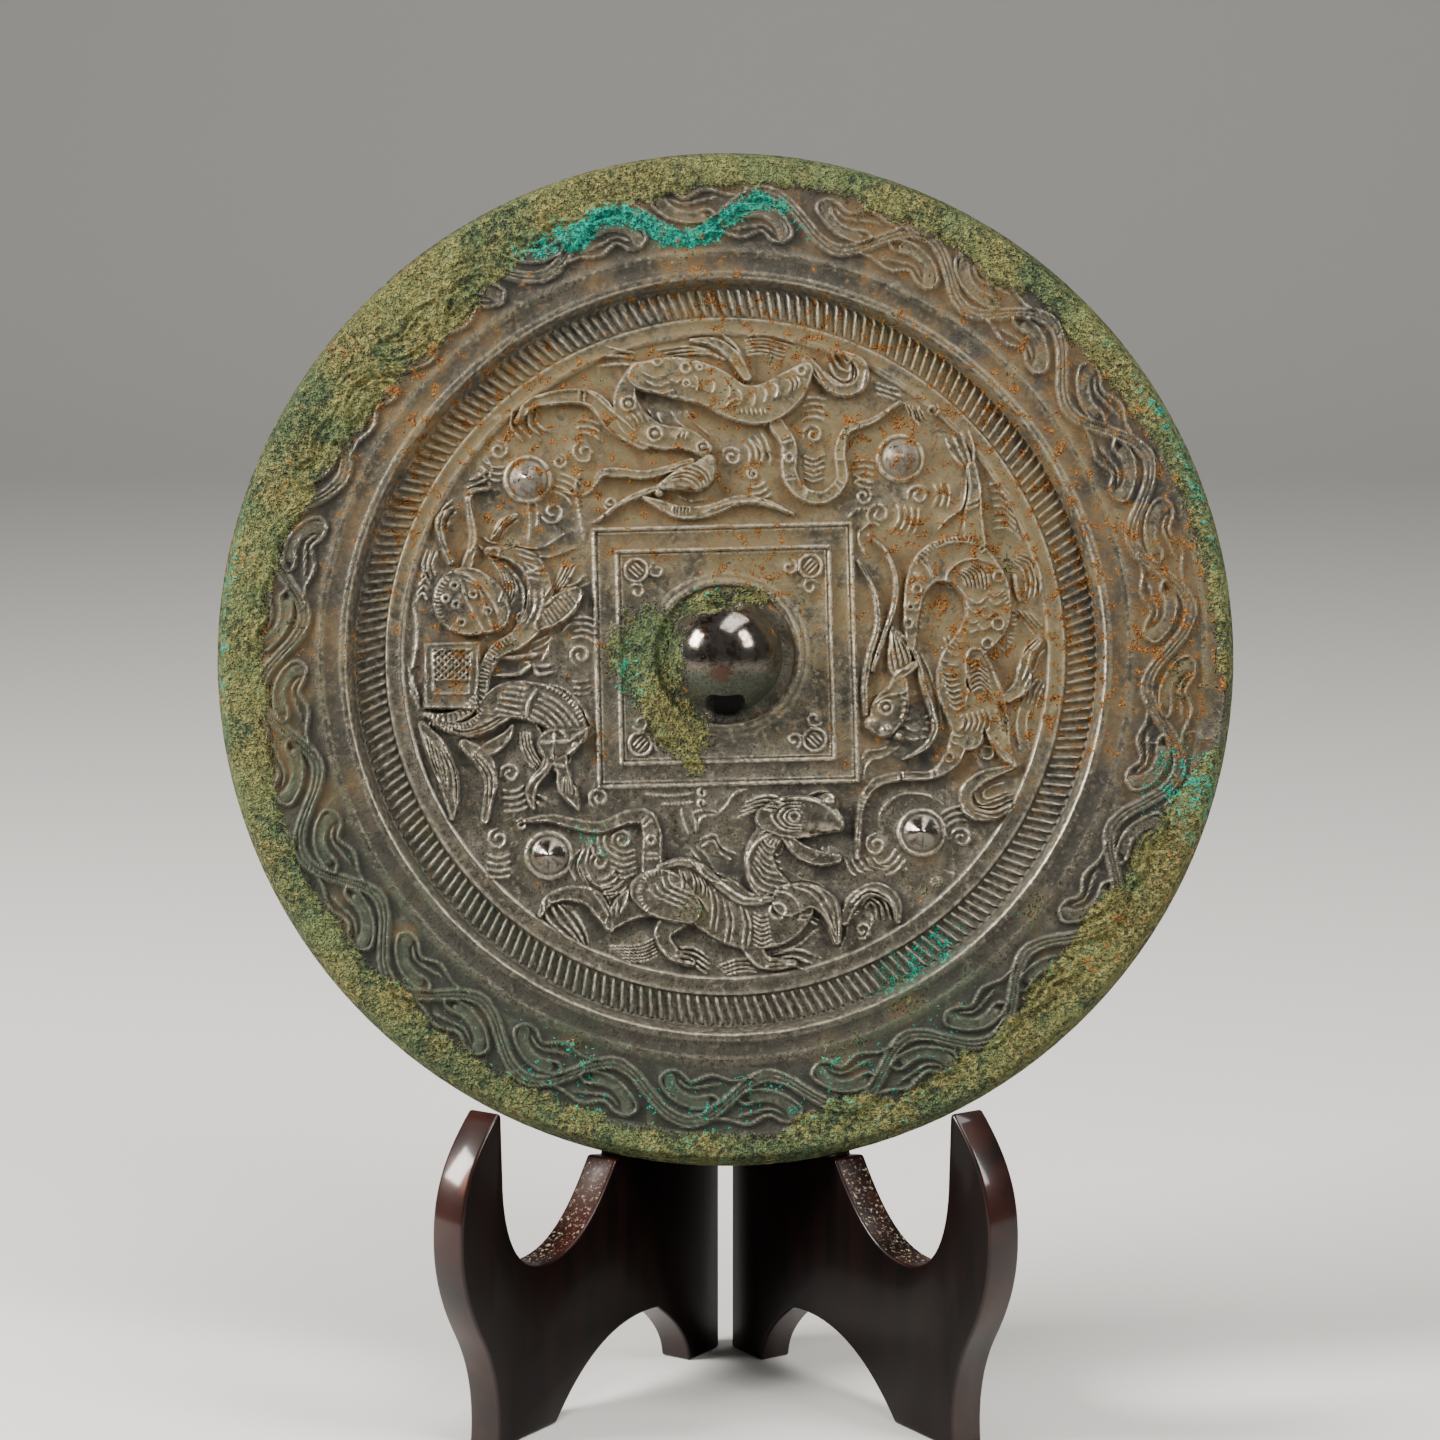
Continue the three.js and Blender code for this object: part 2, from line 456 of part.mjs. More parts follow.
const leftLeaf = named('stand_leaf_left', leafGeometry(-1), lacqueredWood());
const rightLeaf = named('stand_leaf_right', leafGeometry(1), lacqueredWood());
const pin = named('hinge_pin', pinGeometry(), brass);
pin.position.set(0, HINGE_Y, KNUCKLE.bottom + (3 * KNUCKLE.length + 2 * CLEARANCE) / 2);

// The object stands on z = 0, centred on the origin.
const assembly = new THREE.Group();
assembly.add(mirror, leftLeaf, rightLeaf, pin);
assembly.updateMatrixWorld(true);
const box = new THREE.Box3().setFromObject(assembly, true);
const centre = box.getCenter(new THREE.Vector3());
assembly.position.set(-centre.x, -centre.y, -box.min.z);

const group = new THREE.Group();
group.add(assembly);

export default group;
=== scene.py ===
"""A cast bronze mirror, figured back outwards, on a folding stand of lacquered wood.
The scene is in metres. The relief is drawn on the mirror's own plane in millimetres: x right, y up."""
import math

import bpy
import numpy as np
from mathutils import Matrix, Vector


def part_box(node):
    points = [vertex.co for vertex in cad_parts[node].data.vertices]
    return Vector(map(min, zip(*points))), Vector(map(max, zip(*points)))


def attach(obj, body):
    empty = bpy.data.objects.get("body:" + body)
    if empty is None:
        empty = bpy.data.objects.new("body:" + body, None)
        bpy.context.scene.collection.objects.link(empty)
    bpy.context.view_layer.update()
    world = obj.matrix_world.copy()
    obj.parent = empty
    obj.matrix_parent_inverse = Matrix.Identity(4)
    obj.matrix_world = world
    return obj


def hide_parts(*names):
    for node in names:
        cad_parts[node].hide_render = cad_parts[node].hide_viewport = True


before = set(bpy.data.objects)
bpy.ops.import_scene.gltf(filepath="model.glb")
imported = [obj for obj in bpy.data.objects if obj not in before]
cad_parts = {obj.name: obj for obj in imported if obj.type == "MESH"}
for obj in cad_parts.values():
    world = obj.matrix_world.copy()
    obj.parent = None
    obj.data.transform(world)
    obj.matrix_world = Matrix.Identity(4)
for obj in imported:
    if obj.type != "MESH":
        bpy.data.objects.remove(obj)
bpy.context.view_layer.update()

MM = 0.001

# ---- the mirror's sizes, in millimetres ------------------------------------------------------
RADIUS = 90.0
BACK_RADIUS = 89.4
EDGE_LAND = 0.7
FIELD = 2.4
LEAN = math.radians(13.5)
KNOB_RADIUS, KNOB_HEIGHT = 10.1, 9.8
TUNNEL_WIDTH, TUNNEL_HEIGHT, TUNNEL_LENGTH, TUNNEL_FLOOR = 6.8, 6.1, 22.4, 0.25
SQUARE_OUTER, SQUARE_INNER, SQUARE_ROLL = 45.6, 37.6, 1.4
NIPPLES = [(31.0, 35.0), (-35.0, 31.2), (-31.1, -35.4), (34.6, -31.4)]
TEETH = 228
TEETH_FROM, TEETH_TO, TOOTH_HEIGHT = 60.35, 65.2, 0.62
VINE_RADIUS, VINE_SWING, WAVES = 78.4, 4.0, 18
FIGURED_SIDE_FROM = 1.2
MOST_TRIANGLES = 192000

# The turned face of the casting, from the centre out to the edge's land: radius, height.
FACE = [(0, FIELD), (12.3, FIELD), (12.6, 2.95), (13.4, 2.9), (13.9, 2.5), (14.5, 2.65), (15.0, FIELD),
        (56.7, FIELD), (57.2, 2.98), (57.6, 3.0), (58.0, 2.82), (59.4, 2.82), (59.8, 3.0), (60.0, 2.92),
        (60.3, 2.35), (65.2, 2.3), (65.7, 2.6), (66.6, 4.6), (67.0, 5.2), (67.3, 5.3), (67.9, 5.24),
        (68.4, 5.02), (70.6, 5.02), (71.0, 5.2), (71.6, 5.28), (72.2, 5.1), (72.6, 4.98), (83.9, 4.98),
        (84.3, 5.14), (84.8, 5.14), (85.2, 5.05), (87.6, 5.1), (88.2, 5.0), (88.7, 4.4), (90.0, EDGE_LAND)]


# ---- the relief, drawn as strokes on a map of heights ------------------------------------------
def smooth(guide, closed=False, pitch=0.4):
    """A smooth line through the guide's points, whatever else each of them carries."""
    points = np.asarray(guide, float)
    if closed:
        points = np.vstack([points[-1], points, points[0], points[1]])
    else:
        points = np.vstack([2 * points[0] - points[1], points, 2 * points[-1] - points[-2]])
    line = []
    for before, start, end, after in zip(points, points[1:], points[2:], points[3:]):
        a, b, c = (max(np.hypot(*(q - p)[:2]), 1e-3) ** 0.5
                   for p, q in ((before, start), (start, end), (end, after)))
        leaving = ((start - before) / a - (end - before) / (a + b) + (end - start) / b) * b
        arriving = ((end - start) / b - (after - start) / (b + c) + (after - end) / c) * b
        count = max(2, int(np.hypot(*(end - start)[:2]) / pitch))
        t = np.arange(count)[:, None] / count
        line.append((2 * t**3 - 3 * t**2 + 1) * start + (t**3 - 2 * t**2 + t) * leaving
                    + (3 * t**2 - 2 * t**3) * end + (t**3 - t**2) * arriving)
    line.append(points[-2:-1])
    return np.vstack(line)


class Relief:
    """The raised work over the casting's turned face, as a map of heights in millimetres."""
    STEP = 0.1
    SWELL = 0.06

    def __init__(self):
        self.axis = np.arange(-RADIUS, RADIUS + self.STEP / 2, self.STEP)
        self.size = len(self.axis)
        self.height = np.zeros((self.size, self.size), np.float32)

    def column(self, position):
        return int(np.clip(round((position + RADIUS) / self.STEP), 0, self.size - 1))

    def inset(self, path, halves):
        """The patch of the map that a stroke covers, and how far inside its edge each point there lies."""
        reach = halves.max() + 2 * self.STEP
        rows = slice(self.column(path[:, 1].min() - reach), self.column(path[:, 1].max() + reach) + 1)
        columns = slice(self.column(path[:, 0].min() - reach), self.column(path[:, 0].max() + reach) + 1)
        inside = np.full((rows.stop - rows.start, columns.stop - columns.start), -9.0, np.float32)
        for start, end, half_start, half_end in zip(path, path[1:], halves, halves[1:]):
            along = end - start
            reach = max(half_start, half_end) + 2 * self.STEP
            low, high = np.minimum(start, end) - reach, np.maximum(start, end) + reach
            r0, r1 = self.column(low[1]) - rows.start, self.column(high[1]) + 1 - rows.start
            c0, c1 = self.column(low[0]) - columns.start, self.column(high[0]) + 1 - columns.start
            r0, c0 = max(r0, 0), max(c0, 0)
            x = self.axis[columns][c0:c1][None, :] - start[0]
            y = self.axis[rows][r0:r1][:, None] - start[1]
            share = np.clip((x * along[0] + y * along[1]) / max(along @ along, 1e-9), 0, 1)
            near = (half_start + (half_end - half_start) * share
                    - np.hypot(x - share * along[0], y - share * along[1]))
            patch = inside[r0:r1, c0:c1]
            np.maximum(patch, near[:patch.shape[0], :patch.shape[1]], out=patch)
        return rows, columns, inside

    def mound(self, guide, height, roll, welt=0.0, closed=False):
        """A rounded body of guide (x, y, half width), its edge rolled over and kept by a fine welt."""
        path = smooth(guide, closed)
        rows, columns, inside = self.inset(path[:, :2], np.maximum(path[:, 2], 0.15))
        rise = np.clip(inside / roll, 0, 1)
        form = height * np.sqrt(1 - (1 - rise) ** 2) + self.SWELL * np.clip(inside, 0, 4)
        form += welt * np.exp(-((inside - 0.24) / 0.13) ** 2)
        patch = self.height[rows, columns]
        np.maximum(patch, np.where(inside > 0, form, 0), out=patch)

    def plate(self, corners, height, welt):
        """A flat body with straight sides, its corners anticlockwise, kept by a welt too."""
        rows = slice(self.column(corners[:, 1].min()), self.column(corners[:, 1].max()) + 1)
        columns = slice(self.column(corners[:, 0].min()), self.column(corners[:, 0].max()) + 1)
        x, y = self.axis[columns][None, :], self.axis[rows][:, None]
        inside = np.full((rows.stop - rows.start, columns.stop - columns.start), 9.0)
        for start, end in zip(corners, np.roll(corners, -1, axis=0)):
            along = (end - start) / np.hypot(*(end - start))
            inside = np.minimum(inside, (y - start[1]) * along[0] - (x - start[0]) * along[1])
        form = height * np.clip(inside / 0.3, 0, 1) + welt * np.exp(-((inside - 0.3) / 0.18) ** 2)
        patch = self.height[rows, columns]
        np.maximum(patch, np.where(inside > 0, form, 0), out=patch)

    def thread(self, guide, half=0.25, height=0.4, closed=False, blunt=False):
        """A fine raised line on whatever is under it; with a negative height it is cut in."""
        path = smooth(guide, closed)
        if closed:
            path = np.vstack([path[:-1], path[0]])
        share = np.linspace(0, 1, len(path))
        ends = 1 if closed or blunt else np.clip(0.35 + 5 * np.minimum(share, 1 - share), 0, 1)
        rows, columns, inside = self.inset(path[:, :2], half * ends * np.ones(len(path)))
        rise = np.clip(inside / half, 0, 1)
        self.height[rows, columns] += (height * (1 - (1 - rise) ** 2)).astype(np.float32)


relief = Relief()


def body(*guide, height=1.0, welt=0.28):
    """A broad part of a beast: trunk, shoulder, head."""
    relief.mound(guide, height, 0.45, welt)


def limb(*guide, height=0.85, welt=0.28):
    """A slender part of a beast: leg, tail, whisker."""
    relief.mound(guide, height, 0.4, welt)


def line(*guide, half=0.22, height=0.44):
    """One fine line through the places given."""
    relief.thread(guide, half, height)


def strands(first, last, count, half=0.2, height=0.44):
    """Fine lines that pass from the first to the last, as hair, stripes, ripples and claws do."""
    first, last = np.array(first, float), np.array(last, float)
    for i in range(count):
        relief.thread(first + (last - first) * i / max(count - 1, 1), half, height)


def ring(x, y, radius, half=0.28, height=0.4):
    """A fine closed circle."""
    turn = np.linspace(0, 2 * math.pi, 10, endpoint=False)
    relief.thread(np.c_[x + radius * np.cos(turn), y + radius * np.sin(turn)], half, height, closed=True)


def arc(x, y, radius, start, end, half=0.26, height=0.38):
    """Part of a circle, between two bearings in degrees."""
    turn = np.radians(np.linspace(start, end, max(4, int(abs(end - start) / 25) + 2)))
    relief.thread(np.c_[x + radius * np.cos(turn), y + radius * np.sin(turn)], half, height)


def arcs(x, y, first, last, start, end, count):
    """Arcs about one centre, from the first radius to the last."""
    for i in range(count):
        arc(x, y, first + (last - first) * i / max(count - 1, 1), start, end)


def curl(x, y, radius, start, hand=1, turns=1.35):
    """A scroll that winds in from its radius to its eye."""
    share = np.linspace(0, 1, 12)
    turn = np.radians(start) + hand * 2 * math.pi * turns * share
    reach = radius * (1 - 0.78 * share)
    relief.thread(np.c_[x + reach * np.cos(turn), y + reach * np.sin(turn)], 0.27, 0.42)


def ticks(x, y, inner, outer, start, end, count, half=0.22, height=0.34):
    """Short strokes that stand round part of a circle."""
    for turn in np.radians(np.linspace(start, end, count)):
        across = np.array([math.cos(turn), math.sin(turn)])
        relief.thread([(x, y) + inner * across, (x, y) + outer * across], half, height)


def bars(reach, *marks):
    """Short bars across a limb, each with its middle and its bearing."""
    for x, y, turn in marks:
        ticks(x, y, -reach, reach, turn, turn, 1)


def fringe(guide, depth, pitch=0.8, half=0.2, height=0.42):
    """Short strokes side by side along a line, each reaching to its left by the depth."""
    path = smooth(guide, pitch=0.1)
    gone = np.concatenate([[0], np.cumsum(np.hypot(*np.diff(path, axis=0).T))])

    def reached(distance):
        return np.c_[np.interp(distance, gone, path[:, 0]), np.interp(distance, gone, path[:, 1])]

    stations = np.arange(pitch / 2, gone[-1], pitch)
    for start, ahead in zip(reached(stations), reached(stations + 0.05)):
        along = (ahead - start) / max(np.hypot(*(ahead - start)), 1e-6)
        relief.thread([start, start + depth * np.array([-along[1], along[0]])], half, height)


def rungs(guide, width, pitch=0.8, half=0.2, height=0.42):
    """Short strokes right across a band."""
    path = smooth(guide, pitch=0.3)
    along = np.gradient(path, axis=0)
    along /= np.hypot(*along.T)[:, None]
    fringe(path + width / 2 * np.c_[along[:, 1], -along[:, 0]], width, pitch, half, height)


def bump(x, y, radius, height, roll=None):
    """A round boss, domed all over or, with a roll, only at its edge."""
    relief.mound([(x, y, radius), (x + 0.05, y, radius)], height, roll or radius)


def slab(corners, height, welt):
    """A flat plate with straight sides, its corners given anticlockwise."""
    relief.plate(np.array(corners, float), height, welt)


def scroll_with_arcs(x, y, radius, start, hand, toward, count):
    """A scroll with a stack of short arcs beside it, in the direction given, each shorter than the last."""
    curl(x, y, radius, start, hand)
    for i in range(count):
        reach = 80 / (2 + 0.7 * i)
        arc(x, y, radius + 1.3 + 1.15 * i, toward - reach, toward + reach)


def tiger_form():
    """Its trunk, legs, tail, neck and head in the round."""
    limb((-35.5, -29.4, 0.4), (-31, -28.9, 0.8), (-27, -29.8, 1.0), (-22, -30.5, 1.1), (-17, -28.7, 1.3),
         (-14, -28.8, 1.5), (-12.9, -31.5, 1.7), (-13, -36, 1.8), (-12.6, -39, 2.2))
    limb((-12, -42.6, 3.2), (-17, -44.4, 2.6), (-20.3, -47.6, 1.2))
    limb((-20.2, -48.4, 0.7), (-21.6, -45.4, 1.5), (-23.8, -42.8, 1.6), (-28, -42.2, 1.3),
         (-31.4, -43.6, 0.9), (-32.6, -46, 0.5))
    limb((-8, -46, 2.2), (-11, -49.3, 1.6), (-9, -53, 1.2), (-6, -54.3, 0.8))
    limb((4, -50, 2.2), (6.4, -54, 1.4), (10, -54.6, 0.9), (12, -54.4, 0.7))
    body((-9.5, -40.5, 3.4), (-3, -43.2, 5.2), (3, -46.8, 5.0), (9, -46.6, 4.6), (13, -45, 2.6))
    body((10, -43, 3), (6.6, -39, 2.9), (6, -35, 2.5), (8, -31.5, 2.5))
    limb((-11.6, -37.6, 0.7), (-7.6, -36.6, 0.8), (-4.3, -37.8, 0.9), (-0.6, -41, 0.9), (3.4, -43.5, 0.9),
         (8, -43.2, 0.7), height=1.75, welt=0)
    body((-14, -41.6, 2.9), (-11.6, -42, 4.3), (-8.5, -43.8, 3.6), (-6.6, -45, 2.6), height=1.7)
    body((11, -43.4, 3.0), (15, -42.6, 2.2), (18.2, -44.5, 1.9), (19.6, -50.5, 0.8), height=1.6)
    body((7.4, -29, 2.2), (11.5, -28.7, 3.8), (15.5, -28.7, 3.4), (18.4, -29.2, 2.3), (19.4, -29.8, 1.6),
         height=1.5)
    bump(18.2, -26.4, 2.0, 1.9)
    limb((10.6, -32.2, 0.9), (13.4, -34.8, 1.4), (16.6, -36, 1.4), (19.8, -36, 0.8), height=1.2)
    limb((20.8, -47, 0.9), (22.5, -43.5, 1.2), (26.5, -41.4, 1.3), (29.8, -43.5, 1.1), (30.4, -47, 0.5))


def tiger_flank():
    """Haunch, back and flank."""
    ticks(-11.5, -42, 3.1, 4.2, 85, 235, 15)
    strands([(-9.9, -38.2), (-9.6, -40.4), (-7.6, -41.6), (-4.8, -42.9), (-3, -45.4)],
            [(-13.6, -41.4), (-12.6, -42.6), (-11, -43.4), (-9, -44.2), (-7, -45)], 4)
    for x, y in ((-8.2, -38), (-6.2, -38.4), (-4.6, -39.4)):
        strands([(x, y), (x + 0.7, y - 1.6), (x + 0.6, y - 3.4)],
                [(x + 0.7, y - 0.3), (x + 1.4, y - 1.8), (x + 1.3, y - 3.4)], 2)
    for x, top, foot in ((-3, -40.8, -48.6), (-0.4, -43, -51), (2.6, -44.4, -51.6)):
        middle = (top + foot) / 2
        strands([(x, top), (x + 0.8, middle), (x + 0.3, foot)],
                [(x + 1, top - 0.6), (x + 1.8, middle), (x + 1.3, foot - 0.3)], 2)
    strands([(4.8, -45.4), (6.4, -46.2), (7.6, -45.8)], [(4.8, -51), (6.4, -51.8), (8.2, -51)], 8, 0.22)
    ring(9.2, -45.3, 1.4)
    arc(9.3, -45.8, 3.9, 150, -20)
    line((12.8, -46), (15, -46.2), (16.6, -46.8))
    line((12.6, -46.8), (14.8, -47), (16.2, -47.6))
    line((8.4, -52.4), (12.4, -51.4), (15.4, -49), (17, -48))
    strands([(13, -39.6), (17, -40.8), (19.6, -44.6), (20, -50.8)],
            [(11.8, -41), (15, -42.2), (17.2, -44.8), (19.2, -49.4)], 3)
    strands([(-23.5, -41.6), (-21.6, -44.4), (-20.6, -46.2)], [(-17, -41.6), (-17.6, -44), (-18.6, -45.6)], 4)


def tiger_head():
    """Neck, head and mane."""
    strands([(6.4, -32), (7.4, -33.6), (9, -34.3)], [(4.6, -37.6), (7, -40.4), (11, -41.4)], 7)
    line((8.6, -31.4), (5.2, -33.6), (3.9, -37), (5.4, -40.8), (9.4, -42.6), half=0.3)
    ticks(10.4, -29.6, 3.4, 5, 205, 285, 9)
    ring(12.1, -28.8, 0.9)
    strands([(13.6, -31.2), (10, -30.9), (8.2, -28.8), (9.8, -26.6), (13.4, -26.2)],
            [(13.4, -30.2), (11.4, -30), (10.4, -28.8), (11.4, -27.5), (13, -27.4)], 3)
    line((9.4, -25.9), (13, -25.4), (16.4, -26.2), (19.2, -28.2), (20.4, -30.2), half=0.3)
    line((14.8, -31.5), (17.4, -31.9), (20, -31.3), half=0.8, height=-0.9)
    for x in (15.8, 17, 18.2):
        line((x, -33.8), (x + 0.4, -35.6), half=0.22)
    strands([(9, -27.8), (5.6, -27.4), (2.2, -28.8)], [(11, -25.7), (7.4, -24.9), (3.4, -26.2)], 4, 0.3, 0.5)
    curl(18.2, -25.6, 1.1, 120, -1, 1.1)
    line((14.4, -25), (16.4, -24.2), (18.6, -24.4), (19.6, -25.8))


def tiger_tail():
    """Marks along the tail."""
    ring(-13.1, -32.7, 0.75)
    bars(1.2, (-14.4, -29.4, 55), (-13.7, -29.9, 40), (-13, -35.2, 0), (-13, -36.1, 0), (-19, -29.3, 95))


def tiger_paws():
    """Paws and claws."""
    strands([(-32.2, -43), (-31.4, -46.4), (-28, -49.6), (-26.6, -50.4)],
            [(-28.8, -44), (-26.6, -45.6), (-24.6, -49), (-24, -51.4)], 4, 0.3, 0.6)
    strands([(-8.4, -51.6), (-5.4, -51.9), (-2.4, -53.8)],
            [(-9, -54), (-6.2, -54.4), (-3.4, -56.2)], 4, 0.3, 0.6)
    strands([(8.4, -53), (12.6, -52), (16.8, -53.5)], [(7, -55), (11, -54.6), (13.6, -55.4)], 3, 0.3, 0.6)
    strands([(22, -44), (25, -41.6), (28.6, -42.8), (30.4, -46.6)],
            [(24.6, -44.6), (25.4, -43.6), (26.4, -44.6), (26.6, -46.8)], 4, 0.3, 0.6)
    curl(24.1, -48.6, 1.6, 240, 1)
    line((25.6, -45.6), (25.8, -47.4), (24.6, -50))
    strands([(21, -50.4), (21.8, -47), (23.4, -45.2)], [(20.2, -52), (20.8, -50.2), (21.4, -48.6)], 2)


def tiger():
    """The tiger below the square."""
    tiger_form()
    tiger_flank()
    tiger_head()
    tiger_tail()
    tiger_paws()


def spotted_form():
    """Its trunk, legs, tail, neck and head in the round."""
    limb((3.8, 49.4, 0.9), (1.2, 53.4, 1.1), (-2, 55.6, 0.9), (-6, 56, 0.4))
    limb((14.5, 52.4, 0.9), (17.8, 48.8, 1.2), (21.5, 46.9, 1.2), (24.2, 48.6, 1.2), (24, 51.8, 1),
         (21, 53.6, 0.6))
    limb((9, 41, 1.4), (11.2, 37.5, 1.4), (11.4, 32, 1.4), (13.8, 28.6, 1.3), (17.5, 28, 1.2),
         (20.6, 31, 1.1), (20.3, 36, 1), (21.5, 39.8, 0.8), (26, 41.6, 0.6), (31, 45, 0.35))
    limb((-14.5, 37.6, 1.3), (-19.5, 41, 1.7), (-23.5, 45.3, 1.6), (-29, 45.9, 1.3), (-34.5, 44.5, 1),
         (-37, 41.5, 0.6))
    body((-15.8, 51, 1.2), (-17.8, 46, 2.0), (-16.4, 41.5, 2.8), (-12, 38.9, 2.3), (-6.5, 38.2, 1.9),
         (-3.8, 36.6, 1.5))
    body((-14.8, 49.6, 2.6), (-9, 49.3, 3.7), (-3, 47.8, 3.7), (2.5, 44.8, 3.4), (7, 44.6, 3.6),
         (11.5, 47.5, 3), (14.2, 50.6, 1.5), height=1.55)
    limb((-6, 34.4, 0.6), (-10, 33, 0.8), (-14, 32, 0.8), (-19, 32.4, 0.9), (-22, 32.2, 0.7),
         (-23.6, 29.2, 0.35))
    limb((-14.6, 28, 0.35), (-11.4, 26.6, 0.9), (-8, 25.3, 1.2), (-3, 25.6, 1.1), (2.5, 27.5, 0.9),
         (7, 27, 0.7), (12, 25, 0.3))
    limb((-10.5, 30, 0.5), (-14, 29, 0.6), (-18, 27.2, 0.5), (-23, 23.6, 0.25))
    body((-2.8, 34.6, 1.0), (-4.6, 31.8, 2.5), (-8.2, 31, 1.8), (-11.6, 29.8, 0.6), height=1.9)


def spotted_coat():
    """Rings, scales and stripes of the body."""
    for x, y, radius in ((-7, 50.9, 0.85), (-12, 52, 0.75), (13.5, 50.5, 0.8), (-6.9, 48.1, 0.6),
                         (-4.6, 51, 0.5)):
        ring(x, y, radius)
    strands([(-14.6, 50), (-12.4, 49.1), (-10.4, 49.8)], [(-13.6, 47), (-11.4, 46.3), (-9.2, 47)], 3)
    strands([(-9.8, 48.9), (-8.6, 48.3), (-7.9, 48.9)], [(-4.8, 48), (-4, 46.8), (-2.8, 46.4)], 3)
    for x, y in ((-5.4, 48.6), (-2.6, 48.2), (0.2, 47.2), (2.2, 46.2), (4.6, 46), (6.6, 46.6), (8.6, 47.4)):
        arc(x - 1, y - 0.6, 1.7, 60, -50)
    strands([(2, 43.6), (2.2, 42.6)], [(7, 43.6), (7.2, 42.5)], 7, 0.22)
    arcs(2, 43.2, 1, 2, 60, 170, 2)
    strands([(10.6, 49), (11.6, 48), (11.2, 46.4)], [(12.6, 49.4), (13.2, 48.4), (12.8, 47.2)], 3)


def spotted_head():
    """Neck, with its rings, and head."""
    for x, y, radius, boss in ((-17.2, 44.6, 1.25, 0.7), (-12.5, 39.2, 1.3, 0.7), (-4, 36.8, 1.0, 0.6)):
        ring(x, y, radius)
        bump(x, y, boss, 1.9)
    strands([(-17.6, 42.4), (-16.6, 41.4), (-16.2, 40.2)], [(-13.8, 43.8), (-13.2, 42.8), (-12.8, 41.6)], 5)
    strands([(-8.2, 39.6), (-8.8, 38.2)], [(-6.6, 39.6), (-7.2, 38.2)], 3)
    strands([(-12, 43.2), (-11.2, 41.2), (-8.6, 40.3)], [(-7, 43.6), (-5.4, 41.4), (-2.6, 39)], 3)
    strands([(-10, 32.9), (-6.4, 33.9), (-3.2, 32.4), (-2.3, 29.8)],
            [(-9.6, 30.8), (-7.2, 31), (-5.2, 29.9), (-4.6, 28.8)], 5)
    line((-8.6, 29.2), (-5.6, 28.4), half=1.0, height=-1.0)
    line((-9.4, 30.4), (-8.6, 28.6), (-6.2, 27.4), (-4, 27.6))
    strands([(-9.2, 26.8), (-9.4, 25)], [(-6.2, 26.6), (-6.4, 24.8)], 6, 0.2)
    line((-4, 25.2), (1.6, 27), (6.6, 27), (11, 25.3))
    bump(-11.8, 28.8, 0.8, 1.6)


def spotted_hind_leg():
    """Raised hind leg and the strands by it."""
    line((-0.6, 57), (1.6, 55.2), (3.2, 52.4), (4.6, 50), half=0.4, height=0.8)
    strands([(-12, 54.2), (-7, 54.9), (-2.6, 54.2)], [(-10, 53.2), (-4, 53.6), (0.8, 52.4)], 3, 0.3, 0.5)
    strands([(3.2, 56.6), (6.5, 57), (12.5, 55.6)], [(3.6, 53.4), (6.6, 53.6), (10, 52.6)], 6)
    strands([(-15.8, 52.6), (-18.4, 53.2), (-22, 53)],
            [(-16.2, 51.6), (-19, 51.8), (-22.6, 51.4)], 2, 0.3, 0.5)
    line((-16, 53.8), (-18.6, 54.2), (-21.2, 55))


def spotted_paw_and_tail():
    """Right paw and the marks along the tail."""
    strands([(17.8, 53.6), (19.8, 49.4), (21.8, 49), (22.4, 51.4)],
            [(19.8, 54.4), (21, 52.6), (22, 52), (22.4, 52.8)], 3, 0.3, 0.6)
    strands([(16.6, 50.8), (19.8, 47.9), (22.6, 48.8), (23, 52)],
            [(15.2, 51.6), (19.2, 46.4), (23.8, 46.9), (25, 51)], 2, 0.24)
    ring(11.3, 35, 0.75)
    bars(1, (10.6, 38.6, 20), (10.9, 37.8, 15), (11.3, 31.8, 5), (11.5, 31.1, 10), (14.2, 28.3, 70),
         (20.4, 30.6, 145), (19.8, 29.8, 135), (20.6, 34.6, 175))


def spotted_foreleg():
    """Left foreleg and claw."""
    line((-34, 45.6), (-29, 46.9), (-24.6, 46.8), (-20, 43.2), (-15.6, 39.4))
    line((-33.5, 43.8), (-28.6, 44.8), (-24, 44.3), (-21.4, 40.8), (-17.8, 37.6))
    strands([(-25.9, 47.6), (-25.9, 44.8)], [(-25, 47.6), (-25, 44.8)], 2)
    strands([(-37.6, 43.4), (-38, 40.6), (-36, 38)], [(-33.6, 44), (-33.2, 41), (-31.2, 39.6)], 4, 0.3, 0.6)


def spotted_beast():
    """The long-necked spotted beast above the square."""
    spotted_form()
    spotted_coat()
    spotted_head()
    spotted_hind_leg()
    spotted_paw_and_tail()
    spotted_foreleg()


